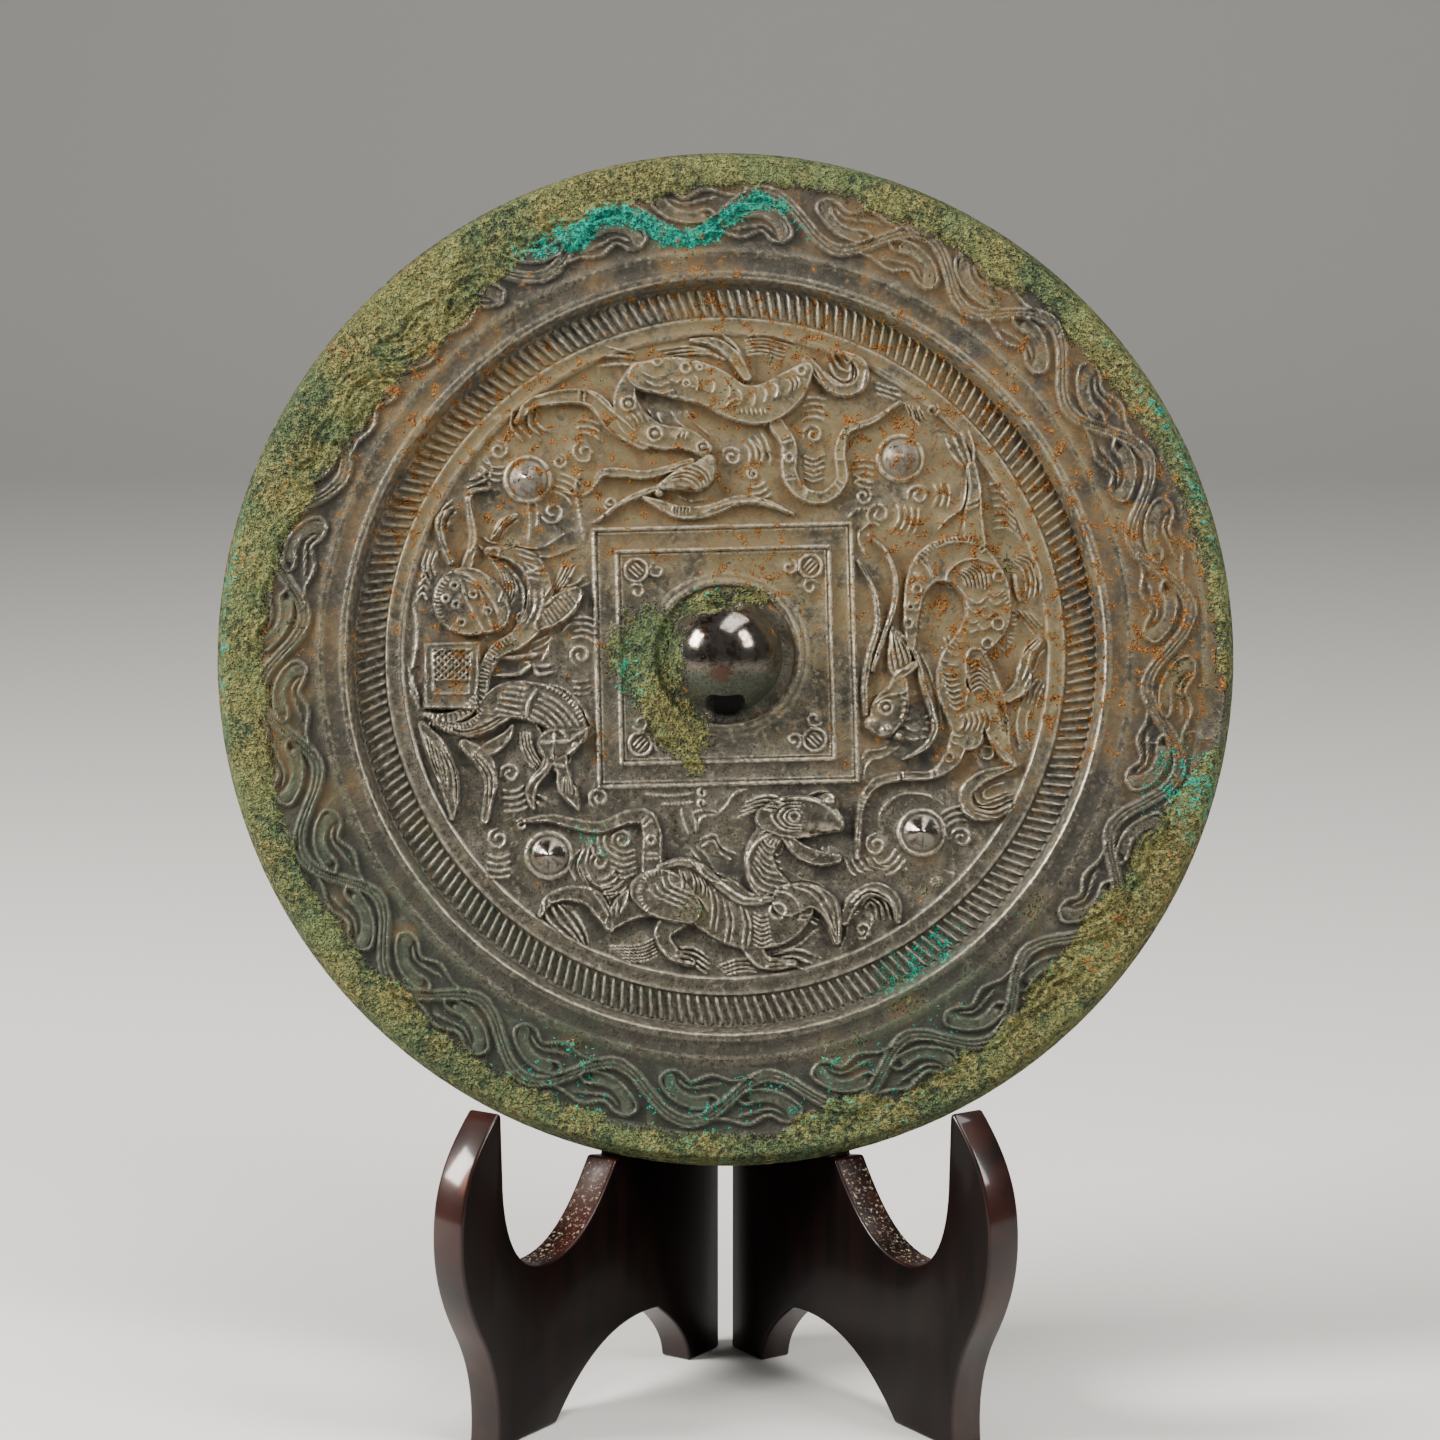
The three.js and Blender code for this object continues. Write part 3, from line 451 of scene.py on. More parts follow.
def dragon_form():
    """Its arch, legs, head, whiskers and tail in the round."""
    limb((44, 20, 2.2), (43.9, 24, 1.8), (44.2, 29, 1.2), (43.6, 33.5, 0.9))
    limb((50, -7.5, 1.1), (52.4, -5.4, 1.5), (53, -1.4, 1.1), (55.6, 2.6, 0.5))
    body((44.4, -1.4, 2.2), (46, -6, 2.8), (47.4, -11, 2.6), (49, -16.5, 1.5), (51, -19.6, 0.5))
    limb((50.4, -20, 0.6), (45.3, -21.6, 1.1), (42.4, -24.4, 1.2), (43.2, -27.6, 1.2), (47.4, -28.4, 0.9),
         (50.2, -26.6, 0.5))
    limb((41.6, -14, 1.8), (40, -18.4, 1.5), (36.6, -21.1, 0.9), (31, -21.5, 0.9), (26.6, -22.6, 0.9),
         (24.2, -26, 0.7), (23.4, -31, 0.6), (23.3, -36, 0.4))
    body((32.8, 1.5, 0.9), (32.9, 7, 1.4), (33.9, 12.5, 2.1), (36.8, 16.2, 3.3), (41.5, 16.6, 4.4),
         (45.7, 12.4, 4.2), (46.3, 6.5, 4.0), (43.6, 2.2, 3.2), (40.6, -1.5, 2.9), (40, -6, 2.7),
         (42.2, -10.5, 3.2), (43, -14.4, 2.6))
    limb((31.6, -18.4, 0.3), (35.6, -16, 0.6), (37, -13.2, 0.65), (36.4, -9.8, 0.6), (34.9, -5.2, 0.6),
         (33.8, -0.6, 0.55), (31.9, 2.6, 0.45), (29.4, 4.9, 0.3))
    limb((24.8, -10.5, 0.5), (24.6, -5.5, 0.6), (25.5, 0, 0.6), (26.9, 5, 0.6), (26.6, 10, 0.5),
         (25.2, 14, 0.35), (23.4, 16.8, 0.2))
    limb((26, -2.6, 0.5), (28, 3.4, 0.5), (29.9, 9, 0.55), (30.1, 13.6, 0.5), (28.4, 18.4, 0.4),
         (25.3, 21.3, 0.2))
    body((29.3, 4.4, 0.4), (30.2, 2.2, 1.3), (30.8, -0.6, 2.1), (30.8, -2.4, 1.8), height=0.8)
    body((31, -4.8, 1.2), (30.1, -7.4, 2.4), (28.9, -9.9, 3.2), (27.9, -12, 2.7), height=1.35)
    limb((28.6, -6.8, 0.5), (30.4, -4.2, 0.8), (33.2, -1.9, 0.8), height=1.2)
    for x, y, radius, height in ((25.9, -12, 1.4, 2.1), (28.2, -13.4, 1.45, 2.1), (30.6, -14.4, 1.0, 1.6)):
        bump(x, y, radius, height)


def dragon_arch():
    """Crest, stripes across the neck and rings on it."""
    fringe([(46.6, 18.6), (44.8, 20.6), (42.4, 21.5), (39.4, 21.4), (36.9, 20.5), (34.9, 18.8), (33.4, 16.4)],
           1.5)
    line((47.4, 17), (45.6, 19), (42.6, 19.9), (39.4, 19.8), (37.2, 18.8))
    line((34.1, 17.8), (35.2, 17.3), (36.2, 15.6), (36.9, 13.1), half=0.28, height=0.5)
    line((34.6, 16.5), (35.8, 15.2), (36.4, 13.5))
    line((33.3, 14.6), (34.4, 13.6), (34.7, 12.6), half=0.4)
    arcs(33.2, 9.8, 0.9, 2, 200, 350, 2)
    strands([(34.3, 9), (35.3, 8.8)], [(34, 5.2), (34.7, 4.8)], 5)


def dragon_shoulder():
    """Scroll, nested stripes and scales of the shoulder."""
    line((40.9, 11.8), (39.4, 12.3), (39.2, 14.2), (41.7, 16.5), (44.2, 16.9), (47.2, 16.1), (48.8, 15.2),
         (49.2, 13.6))
    strands([(40.6, 14.3), (41.8, 13.6), (42.6, 12)], [(43.6, 16.4), (46, 15), (46.6, 11.4)], 7, 0.22, 0.5)
    strands([(42.9, 10.2), (44.4, 9), (46.2, 10.2)], [(42.6, 8.8), (44.2, 7.4), (46, 8.6)], 2)
    strands([(44.8, 7.6), (46.2, 6.4), (47.4, 7.4)], [(44.4, 5.6), (45.6, 4.4), (47, 5.2)], 2)
    strands([(42.4, 6.8), (43.6, 5.6), (44.8, 6)], [(42, 5), (43.2, 4), (44.4, 4.4)], 2)
    strands([(46.6, 9.8), (47.8, 8.8), (49, 9.6)], [(46.4, 11.2), (47.8, 10.4), (49.2, 11.4)], 2)
    fringe([(47, 0.6), (49.2, 1.8), (50.4, 5), (49.8, 8.6), (48.4, 10.6)], -1.1, 0.75)
    strands([(40.2, 3.8), (40.8, 2.8), (41.8, 2)], [(38.6, 3.2), (39.2, 1.8), (40.4, 0.9)], 3)
    strands([(38.1, 1.4), (39.6, 0.4), (40.9, -0.4)], [(37.8, -0.4), (39.2, -1.6), (40.6, -2)], 2)
    strands([(37.7, -2), (38.8, -3.4), (40.8, -3.4)], [(39.6, -8.8), (40.8, -9.8), (42.2, -9)], 7, 0.22, 0.5)
    strands([(41.6, -10.6), (42, -12.2), (41.2, -13.6)], [(46.2, -9.4), (46.8, -12), (46, -14)], 6, 0.22, 0.5)


def dragon_haunch():
    """Haunch and hind leg."""
    line((42.4, -8.4), (43, -6), (42.4, -1.3), (43.4, 0.9), (45.2, 0.8), (46.6, -1.3), (47.8, -4.4),
         (49, -7.6), half=0.28, height=0.55)
    strands([(42.9, -1.4), (44.5, -0.8), (46.1, -2)], [(43.2, -7), (45, -5.8), (47.4, -8.2)], 7)
    line((48.2, -8.4), (49.2, -11), (49.8, -14), half=0.8, height=-0.7)
    line((43.2, -16.8), (44.4, -18.6), (45.6, -20.6))
    line((47.8, -15.4), (49.4, -17.8), (51, -20))
    for x, y, size in ((33.9, 11.6, 0.8), (32.4, 5.5, 0.75), (48.3, 13.8, 0.9), (48.2, 5.4, 1.05),
                       (46.3, 2, 0.9), (46.2, -17.3, 1.15), (39.5, -18.2, 0.8), (32.7, 8.4, 0.5)):
        ring(x, y, size, 0.24, 0.5)
    strands([(39.8, -14.2), (41.6, -14.6)], [(39.3, -15.4), (41.1, -15.9)], 2)


def dragon_head():
    """Ears, brow, eye, cheek, jaws and whiskers."""
    strands([(29, 4), (28.7, 1), (29.2, -3.6)], [(30.4, 3.4), (32, 1.2), (33, -1.2)], 5, 0.24, 0.5)
    ring(28.3, -9.4, 1.25, 0.3, 0.5)
    bump(28.3, -9.4, 0.7, 2.1)
    line((26.2, -7.2), (28.7, -6.2), (30.4, -3), (32.5, -2.4), half=0.28, height=0.5)
    line((26.4, -8.6), (28.4, -7.4), (30.6, -7), half=0.28, height=0.5)
    line((31, -7), (31.7, -8.8), (31.2, -11.2), half=0.34, height=0.55)
    fringe([(31.9, -6), (32.4, -8), (32.4, -10), (31.8, -12.6)], -1.3, 1.2, 0.32, 0.7)
    fringe([(36, -10), (36.4, -12), (35.6, -15)], -1.2, 1.4, 0.3, 0.7)
    line((26, -14.6), (28.4, -15.6), (31, -15), half=0.8, height=-0.8)
    line((33.4, -8.8), (34.4, -11.4), (33.6, -13.4), half=0.8, height=-0.7)
    strands([(31.6, -12.6), (33, -13.4), (34.4, -13.2)], [(31.4, -14.4), (32.8, -15), (34.2, -14.8)], 2)
    line((30.8, -16.1), (28.3, -17.8), (25.3, -19), (24.3, -22))
    line((29, -16), (27, -16.8), (25, -17), (24, -18.6))
    strands([(33.6, 0.2), (35.3, -3.8), (36.6, -8), (37, -12.6)],
            [(34.4, 0.6), (36.2, -3.6), (37.6, -8), (38.1, -12.8)], 2, 0.2, 0.3)


def dragon_tail_and_feet():
    """Tail and feet."""
    for start, end in (((36.2, -20.3), (36.6, -22)), ((37.1, -20.1), (37.5, -21.8)),
                       ((30.5, -20.6), (30.7, -22.4)), ((31.3, -20.6), (31.5, -22.4)),
                       ((23.5, -25), (25.2, -25.6)), ((23.4, -25.8), (25, -26.4)),
                       ((23.2, -26.6), (24.8, -27))):
        line(start, end)
    strands([(50.6, -20.8), (46, -22.4), (43.9, -24.6), (45, -26.4), (48, -25.6), (50.8, -24.6)],
            [(49.4, -22.6), (47, -23.2), (45.4, -24.5), (46, -25.4), (47.6, -25), (49.6, -24.2)], 2)
    strands([(44, -26.8), (47, -27), (51, -25.4)], [(43.8, -28), (47.6, -28.8), (51, -27)], 3, 0.25, 0.5)
    line((46, 20), (45.3, 25), (45.2, 30), (44.2, 34.4))
    line((37.7, 22.4), (39.4, 24.2), (41.8, 26), (42.6, 29), (42.8, 32))
    strands([(42.3, 25.4), (44.9, 26.6)], [(42.5, 26.6), (44.9, 27.6)], 2)
    strands([(42.4, 33), (40.4, 35.4), (39, 38.6)], [(44, 34), (44, 37), (43, 40)], 4, 0.26, 0.5)
    strands([(50.4, 8.4), (52.6, 6.2), (54.6, 3.6)], [(53.8, 7.6), (54.8, 6.4), (56, 5.2)], 4)
    strands([(50.5, 16.4), (52.4, 15.4), (53.2, 12.5), (52.6, 9.5)],
            [(51.9, 18), (54.6, 16.8), (55.8, 13.5), (55.6, 10.5)], 4)
    line((51.2, 14.4), (51.4, 12), (52.2, 9.6), half=0.7, height=0.8)
    strands([(51.1, -5.1), (52, -2.5), (52.8, 0.8), (55.6, 3.4)],
            [(53.4, -4.6), (54.6, -2.4), (55.4, -0.2), (56.4, 1)], 3)
    strands([(52.5, -8.5), (53.2, -5), (55, -3.4)], [(54.9, -9.5), (55.6, -7), (56.4, -5)], 4)
    strands([(52, -9), (51.5, -13), (52, -17)], [(53.6, -9.6), (53.2, -12.6), (53.4, -15.4)], 2)


def dragon():
    """The dragon right of the square."""
    dragon_form()
    dragon_arch()
    dragon_shoulder()
    dragon_haunch()
    dragon_head()
    dragon_tail_and_feet()


def tortoise_form():
    """The shell, limbs and necks in the round, and the snake wound about them."""
    limb((-46, 14.6, 1.1), (-44.6, 20.5, 0.8), (-45.2, 25, 0.7), (-45.2, 28.8, 0.6), (-41.5, 29.6, 0.35))
    limb((-48.6, 16.6, 0.7), (-50.2, 20.5, 0.7), (-50.6, 24, 0.8), (-48.4, 26, 0.4))
    limb((-53.6, -12.4, 0.7), (-51.2, -16.4, 1.9), (-49.2, -21, 2.0), (-48.2, -25.6, 1.3), (-48.2, -29, 0.4))
    limb((-46, -15.8, 1.0), (-42.8, -18.6, 1.6), (-41.3, -22.4, 1.2), (-41.9, -26, 0.9), (-42.4, -29.2, 0.8))
    limb((-51, -12, 0.8), (-46, -13.2, 1.4), (-42.5, -11.8, 1.9), (-39.6, -9.6, 2.4))
    body((-43, -9.4, 1.3), (-38.6, -8, 3.1), (-33.6, -8.4, 3.5), (-29.2, -10.4, 3.5), (-27, -13.6, 2.8))
    body((-30.3, -15.9, 2.8), (-28, -15.4, 2.3), (-25.8, -14.2, 1.2), (-24.2, -13.1, 0.4), height=1.2)
    limb((-30.4, -17.6, 1.6), (-31.9, -20.2, 0.9), (-33.9, -22.8, 1.0), (-34.4, -24.9, 0.9),
         (-33.8, -27.4, 0.3))
    limb((-29.6, -17.6, 1.8), (-28.7, -20.8, 1.2), (-28.2, -23.2, 1.5), (-27, -25, 1.3), (-25.9, -27.4, 0.3))
    limb((-44.6, -17.8, 0.4), (-41.4, -16.5, 1.3), (-38.6, -14.4, 0.9), (-37.6, -12.6, 0.4))
    limb((-42, 18.4, 0.8), (-38.4, 18, 1.2), (-34.8, 16.4, 1.9), (-32.8, 12.4, 2.2), (-33.4, 7.2, 2.2),
         (-36.4, 3, 1.8), (-40.4, 0.6, 1.4), (-42.6, -3.2, 1.3), (-43.4, -7.2, 1.2), (-46.4, -10.4, 1.1),
         (-50, -11.3, 1.0), (-53, -10.6, 0.5))
    body((-33, 5, 0.9), (-31, 7, 2.2), (-28.8, 8.6, 2.4), (-26.6, 10.6, 1.5), height=1.2)
    body((-45.8, 9.6, 6.0), (-45.4, 9.3, 6.0), (-43.4, 8.6, 5.0), (-41.6, 7.4, 3.6), height=1.2)
    slab([(-53.3, -9.6), (-43.6, -9.9), (-43.2, 2.4), (-53.3, 2.2)], 1.35, 0.35)


def tortoise_shell():
    """Rim, lines and rings of the shell."""
    line((-48.6, 14.8), (-46, 14.2), (-42.6, 11.4), (-40.2, 7.4), (-39.6, 4.4), half=0.3, height=0.5)
    line((-46.2, 13.4), (-43.8, 12), (-42.4, 8), (-41, 4), half=0.24)
    line((-46.8, 13), (-45.6, 9.4), (-43.6, 5.8), (-42, 3), half=0.24)
    fringe([(-49.8, 14.2), (-51.4, 11.4), (-51.6, 8.4), (-50.8, 5.4)], 1.4, 0.8)
    for x, y in ((-47.8, 12.2), (-47.6, 8.9), (-46.6, 5.6), (-44.5, 10.6), (-42, 7.6), (-49.4, 9.9)):
        ring(x, y, 0.65, 0.26, 0.5)


def tortoise_plaque():
    """The plaque's frame and lattice."""
    for start, end in (((-51.6, 0.9), (-44.8, 0.9)), ((-51.4, -6.9), (-45.2, -6.9)),
                       ((-51.6, 0.9), (-51.4, -6.9)), ((-44.8, 0.9), (-45.2, -6.9)),
                       ((-51.5, -4.5), (-45, -4.5))):
        line(start, end, half=0.24, height=0.45)
    top, bottom = 0.8, -4.3
    for start in np.arange(-55.6, -45.6, 1.25):
        left, right = max(start, -51.3), min(start + top - bottom, -45.1)
        if right - left > 0.6:
            for level, slope in ((top, -1), (bottom, 1)):
                ends = [(u, level + slope * (u - start)) for u in (left, right)]
                relief.thread(ends, 0.18, 0.4, blunt=True)


def snake_band():
    """The corded band that runs on from the snake, and the beads under the plaque."""
    rungs([(-37.4, 3.4), (-40.4, 0.9), (-42.4, -3), (-43.2, -7), (-46.4, -10.3), (-50, -11.2),
           (-52.6, -10.6)], 2.1, 0.75)
    rungs([(-52.6, -12.4), (-48.4, -13), (-44.8, -12), (-43, -9.6)], 1.3, 0.7)


def snake_head():
    """The snake's loop and head."""
    line((-40.6, 16.8), (-38, 15), (-35.8, 11.4), (-35.9, 7.4), (-37.6, 4.4), half=0.28, height=0.5)
    ring(-40.9, 17.9, 1.0, 0.3, 0.5)
    ring(-36.2, 6.6, 0.8)
    for start, end in (((-36.8, 17.8), (-33.6, 16.8)), ((-36, 16.6), (-33, 15.2)),
                       ((-35.2, 14.6), (-31.6, 14.2)), ((-34.9, 13.6), (-31.5, 13)),
                       ((-35.2, 14.6), (-33, 15.2)), ((-36, 16.6), (-33.8, 14.4))):
        line(start, end)
    strands([(-34.9, 11.6), (-35, 8.4), (-36.4, 5.6)], [(-32.4, 11.6), (-32.4, 8), (-34, 4.8)], 3)
    strands([(-32.6, 7.4), (-31, 4.8)], [(-28.2, 11.4), (-26.2, 9)], 9, 0.2, 0.42)
    line((-33, 8.4), (-31.4, 9), (-29.8, 10.8), (-27.4, 12), (-25.4, 11.4), (-26.2, 8.8), (-28.6, 6.2),
         (-31.6, 4.4), half=0.28, height=0.5)
    strands([(-32, 10.2), (-30, 13), (-28.4, 16.4)], [(-29.4, 11.2), (-28, 13.2), (-26.4, 16)], 4, 0.24, 0.5)
    strands([(-28.6, 12.2), (-26.6, 12.6), (-24.6, 14.4)], [(-27, 11.6), (-25.6, 12), (-24.2, 12.8)], 2)


def tortoise_neck():
    """Neck of the tortoise."""
    strands([(-41.4, 17), (-39.8, 14.4), (-39.2, 11.6), (-40, 9.4)],
            [(-39.4, 17), (-37.8, 14.4), (-37, 11.4), (-38, 8.8)], 5, 0.24, 0.5)
    strands([(-37.6, 19.4), (-33, 19), (-28.4, 21.6)], [(-36, 18.4), (-31.6, 17.4), (-26.6, 19)], 2)
    strands([(-36.4, 1.6), (-33.6, 2.4), (-31, 3.6)], [(-34.8, 0.6), (-32.4, 1.6), (-30.4, 3)], 2)
    line((-30.8, 3.4), (-31.4, 0.8), (-32.6, -1.2), half=0.26)


def tortoise_beak():
    """Beak."""
    line((-41, -0.6), (-36.6, -0.4), (-33, 0.2), half=0.6, height=0.9)
    line((-41, -3.6), (-36.8, -3.4), (-34, -2), (-33.2, -3.4), (-30, -2.9), half=0.45, height=0.8)
    line((-36, -1), (-33, -2), (-31, -1.8), half=0.4, height=0.6)


def second_head():
    """Mane, the second head and its jaws."""
    strands([(-38.6, -5.6), (-34.6, -6.2)], [(-40.6, -9.6), (-36, -10.6)], 5, 0.26, 0.5)
    strands([(-32.8, -6.8), (-30.1, -8.1), (-28, -9.9), (-26, -12.5)],
            [(-34.6, -10.8), (-32.9, -11.8), (-31.8, -12.6), (-31, -13.4)], 5, 0.26, 0.5)
    line((-33.3, -6.2), (-34.8, -8.7), (-35.1, -11.5), half=0.36, height=0.6)
    line((-35.1, -11.5), (-33.3, -12.5), (-32.4, -14), half=0.3, height=0.5)
    line((-32.6, -5.1), (-29.5, -5.7), (-26.5, -7.8), (-24.6, -10.8), (-23.9, -12.6), half=0.3, height=0.5)
    fringe([(-25.6, -12.2), (-27.3, -9), (-29.6, -7), (-32, -6)], -1.4, 0.75)
    arc(-30.4, -16, 2.7, 20, 205, 0.3, 0.5)
    line((-30.2, -13.4), (-30.2, -19.2), half=0.34, height=0.5)
    line((-33, -15.6), (-27.2, -15.3), half=0.34, height=0.5)
    line((-33, -15.8), (-32.6, -17.6), (-31.3, -18.8), (-31.5, -19.9), (-33.2, -21.5), (-34.8, -23.4),
         (-35, -25), half=0.26, height=0.5)
    line((-31.3, -19.5), (-27.7, -19.8), half=0.3, height=0.5)
    line((-27.2, -15.1), (-24.1, -12.9), half=0.3, height=0.6)
    line((-24.3, -14.6), (-27.2, -17.6), (-27.6, -20), half=0.28, height=0.55)
    line((-27.6, -20), (-27.2, -21.6), (-26.3, -23.2), (-26.3, -25.4), half=0.26, height=0.5)
    strands([(-28.4, -21.8), (-28.7, -24.4)], [(-27.3, -21.8), (-27.1, -24.8)], 4, 0.2, 0.45)
    bump(-26.6, -16, 0.9, 1.7)
    strands([(-33.4, -24.6), (-31.6, -25.6)], [(-33.8, -25.6), (-32.4, -26.8)], 2, 0.3, 0.6)
    strands([(-36.3, -13.6), (-35.9, -16.7), (-34.8, -19), (-33.3, -20.4)],
            [(-34.6, -13.6), (-34, -16.6), (-32.8, -18.6), (-32.2, -19.4)], 4, 0.26, 0.5)
    strands([(-51, -12.6), (-47, -14.6), (-42.6, -14), (-39.4, -12)],
            [(-49.4, -12.2), (-46.4, -13.4), (-42.6, -12.2), (-40, -10.8)], 3)


def tortoise_legs():
    """Legs and the strands beside them."""
    strands([(-53.4, -13.6), (-52.2, -18), (-50, -24)],
            [(-50.2, -17.2), (-49.2, -20.6), (-48.9, -23.6)], 5, 0.2, 0.45)
    strands([(-50.6, -15), (-47.6, -20), (-46.9, -27.4)], [(-50.2, -16.2), (-48.2, -20.4), (-47.6, -26.6)], 2)
    strands([(-44.6, -16.8), (-41, -21), (-41, -26)], [(-45, -17.8), (-42.6, -21.4), (-42.4, -26.4)], 3)
    strands([(-51.2, 22), (-50.4, 25.4), (-48.4, 27.6)],
            [(-49.4, 22.6), (-48.8, 24.4), (-47.8, 25.4)], 3, 0.26, 0.5)
    line((-46.2, 17.4), (-44.2, 19.6), (-44.6, 25), (-45.6, 28.4))
    strands([(-46.2, 28.4), (-43.8, 29.2), (-41.4, 29.8)],
            [(-45.4, 31), (-43.4, 32), (-42.2, 33)], 3, 0.26, 0.5)
    strands([(-52.8, 18.8), (-53.6, 15.8), (-52.6, 13)], [(-50.8, 18.8), (-51.8, 16), (-51.4, 14)], 3)
    strands([(-56, -2), (-54.8, -6), (-53.8, -8)], [(-55.8, -6), (-54.8, -8), (-54, -9.6)], 4)
    line((-55.4, 9.4), (-54.6, 5), (-54.8, 0), (-55.8, -3.6))
    strands([(-44.4, 20.2), (-42.8, 18.6), (-42.2, 18.4)], [(-43, 21), (-41.6, 20), (-40.4, 19.8)], 2)


def tortoise_and_snake():
    """The tortoise and snake left of the square."""
    tortoise_form()
    tortoise_shell()
    tortoise_plaque()
    snake_band()
    snake_head()
    tortoise_neck()
    tortoise_beak()
    second_head()
    tortoise_legs()


def scrolls_with_arcs():
    """Scrolls: middle, radius, first bearing and hand, then the bearing and number of a scroll's arcs."""
    scrolls = [(-22.3, -25.3, 2.0, 250, -1, 0, 0), (-18.2, -32.7, 1.9, 200, -1, 200, 3),
               (-22.2, -36.6, 1.8, 200, -1, 300, 4), (26.6, -33.6, 2.1, 90, 1, 310, 3),
               (41.6, -32.4, 2.0, 180, -1, 110, 3), (15.6, 39.2, 1.9, 200, -1, 90, 4),
               (24.4, 28.2, 1.7, 100, -1, 90, 4), (34.2, 28.4, 2.0, 200, -1, 0, 3),
               (27.2, 25, 2.3, 250, -1, 350, 4), (-25, 36, 2.2, 100, 1, 80, 3),
               (-40.2, 36.4, 1.8, 100, -1, 250, 3), (-30.6, 25.4, 2.2, 180, 1, 60, 4),
               (-25.6, 0, 2.0, 250, -1, 80, 4), (-38, -21, 1.9, 200, -1, 280, 4),
               (1.2, 35.2, 1.9, 180, -1, 20, 4), (-29.4, 34.4, 1.4, 90, -1, 180, 0),
               (4.9, 32.2, 1.2, 90, 1, 290, 3), (-40, -32.6, 2.0, 90, 1, 270, 4),
               (-20.4, 27, 1.3, 200, 1, 40, 0), (-36, -30, 1.0, 150, -1, 0, 0),
               (36.8, 43.6, 1.2, 60, -1, 200, 2)]
    for place in scrolls:
        scroll_with_arcs(*place)


def arc_stacks():
    """Stacks of short arcs beside the scrolls."""
    strands([(13.6, 35.6), (15.6, 34.8), (17.6, 35.6)], [(14, 31.4), (15.6, 30.8), (17.4, 31.4)], 5)
    strands([(-27, -4.6), (-25.6, -4.8), (-24, -4.4)], [(-26.8, -6.8), (-25.4, -7), (-23.8, -6.6)], 3)
    strands([(5.4, 37.6), (6.6, 35.8), (6, 33.4)], [(7.4, 36.8), (8, 35.4), (7.8, 33.8)], 2)


def strokes_by_tiger():
    strands([(-20.4, -33.8), (-18, -35), (-15.8, -34.4)], [(-20.6, -38.6), (-18, -39.4), (-15.6, -38.6)], 5)
    strands([(-25, -38.4), (-22.4, -41), (-19, -40.8)], [(-26, -37), (-23, -42), (-18, -42)], 2)
    strands([(-21, -51.4), (-15, -51.2), (-11.6, -49.6)], [(-18, -54), (-14, -54), (-12, -53)], 6)
    strands([(-1.4, -55), (2, -53.8), (4.4, -53.8)], [(0, -56.6), (3, -55.8), (5.4, -56)], 4)
    strands([(-5.6, -33.6), (-3.6, -35.4), (-1.4, -38.6), (2, -39.6)],
            [(-7, -35), (-5.2, -37.6), (-3.2, -39.6), (-0.6, -40.6)], 3)
    strands([(-4.6, -32.8), (-2, -31.8), (-0.6, -34), (2, -35.2)],
            [(-4.4, -34), (-2, -33), (-1, -35), (1, -36.2)], 2)
    strands([(-14.6, -24.6), (-9, -24.9), (-5.6, -24.4)], [(-11.4, -26.4), (-8, -26.3), (-5.6, -26)], 2)
    curl(-4, -24.4, 1.0, 90, 1, 1)
    curl(-4.2, -26.2, 0.8, 270, -1, 1)
    line((-7.8, -27.2), (-7.4, -29.6), (-6.6, -31.6))
    line((-6.2, -27.4), (-5.4, -29), (-5.2, -31.4))
    line((-6, -28), (-3.6, -27.4), (-1, -28))
    line((4, -23.6), (1.6, -24.6), (0.2, -26.6), (-1.6, -28.2), (-4.2, -28.8), (-5.2, -31.4))
    line((27, -30), (27.6, -27.4), (31, -24.7), (35.6, -24.8), (38.4, -26.4))
    strands([(21, -36), (22, -38.4), (23, -39)], [(26, -35.8), (27.2, -37.2), (29, -37.4)], 5)
    strands([(-25.6, -34.4), (-27.6, -37), (-26.4, -40)], [(-24, -34), (-24.6, -37.4), (-23.6, -40)], 3)


def strokes_by_spotted_beast():
    strands([(26.4, 48.6), (28.6, 47.8), (31, 47.2)], [(26.6, 46.6), (28.6, 46), (31, 45)], 3)
    strands([(31.6, 45), (32.8, 42.6)], [(34.6, 43.6), (35.8, 41.2)], 5)
    strands([(22.4, 32.4), (24.4, 31), (26.4, 30.4)], [(22.8, 30.8), (24, 30), (26, 29.6)], 2)
    line((23.2, 25.4), (24.6, 26), (26, 25.6))
    strands([(21.6, 24.4), (23.6, 26), (25, 25.4)], [(24, 22), (25.6, 23.4), (27.4, 23)], 2)
    line((-42.6, 35.4), (-41.4, 33), (-42, 30.8), (-40.8, 29))
    strands([(-37.4, 28.8), (-35.2, 27.4), (-34.6, 23), (-35, 19.6)],
            [(-36.4, 28.4), (-33.6, 27), (-33.2, 24.2), (-33.6, 22.4)], 2)
    line((-25.6, 32.6), (-26.6, 30), (-26, 26), (-25, 20.4), half=0.3, height=0.5)
    line((-28.8, 29), (-25.4, 28.4), (-22.6, 30), half=0.25)


def strokes_by_dragon():
    strands([(46.6, 30.4), (48.6, 30.2), (50.4, 28.4)], [(47.4, 22.4), (50, 22.4), (52.4, 20.4)], 7)
    line((23.8, 22.4), (23.6, 20.4), (24.8, 17.8))


def strokes_by_tortoise():
    limb((-41.3, 20.6, 0.3), (-39.6, 23.4, 0.8), (-37, 24.9, 0.4), height=0.6)
    strands([(-41.4, 21.2), (-39.6, 23.6), (-38, 25.2)], [(-40, 20.6), (-38.6, 22.6), (-36.8, 24)], 4, 0.2)
    line((-29, 4), (-27.4, 5.6), (-25.4, 5.8))
    strands([(-55, 9), (-53.6, 11), (-52.8, 9.6)], [(-54, 13.6), (-52.8, 15), (-52.2, 13.8)], 4)


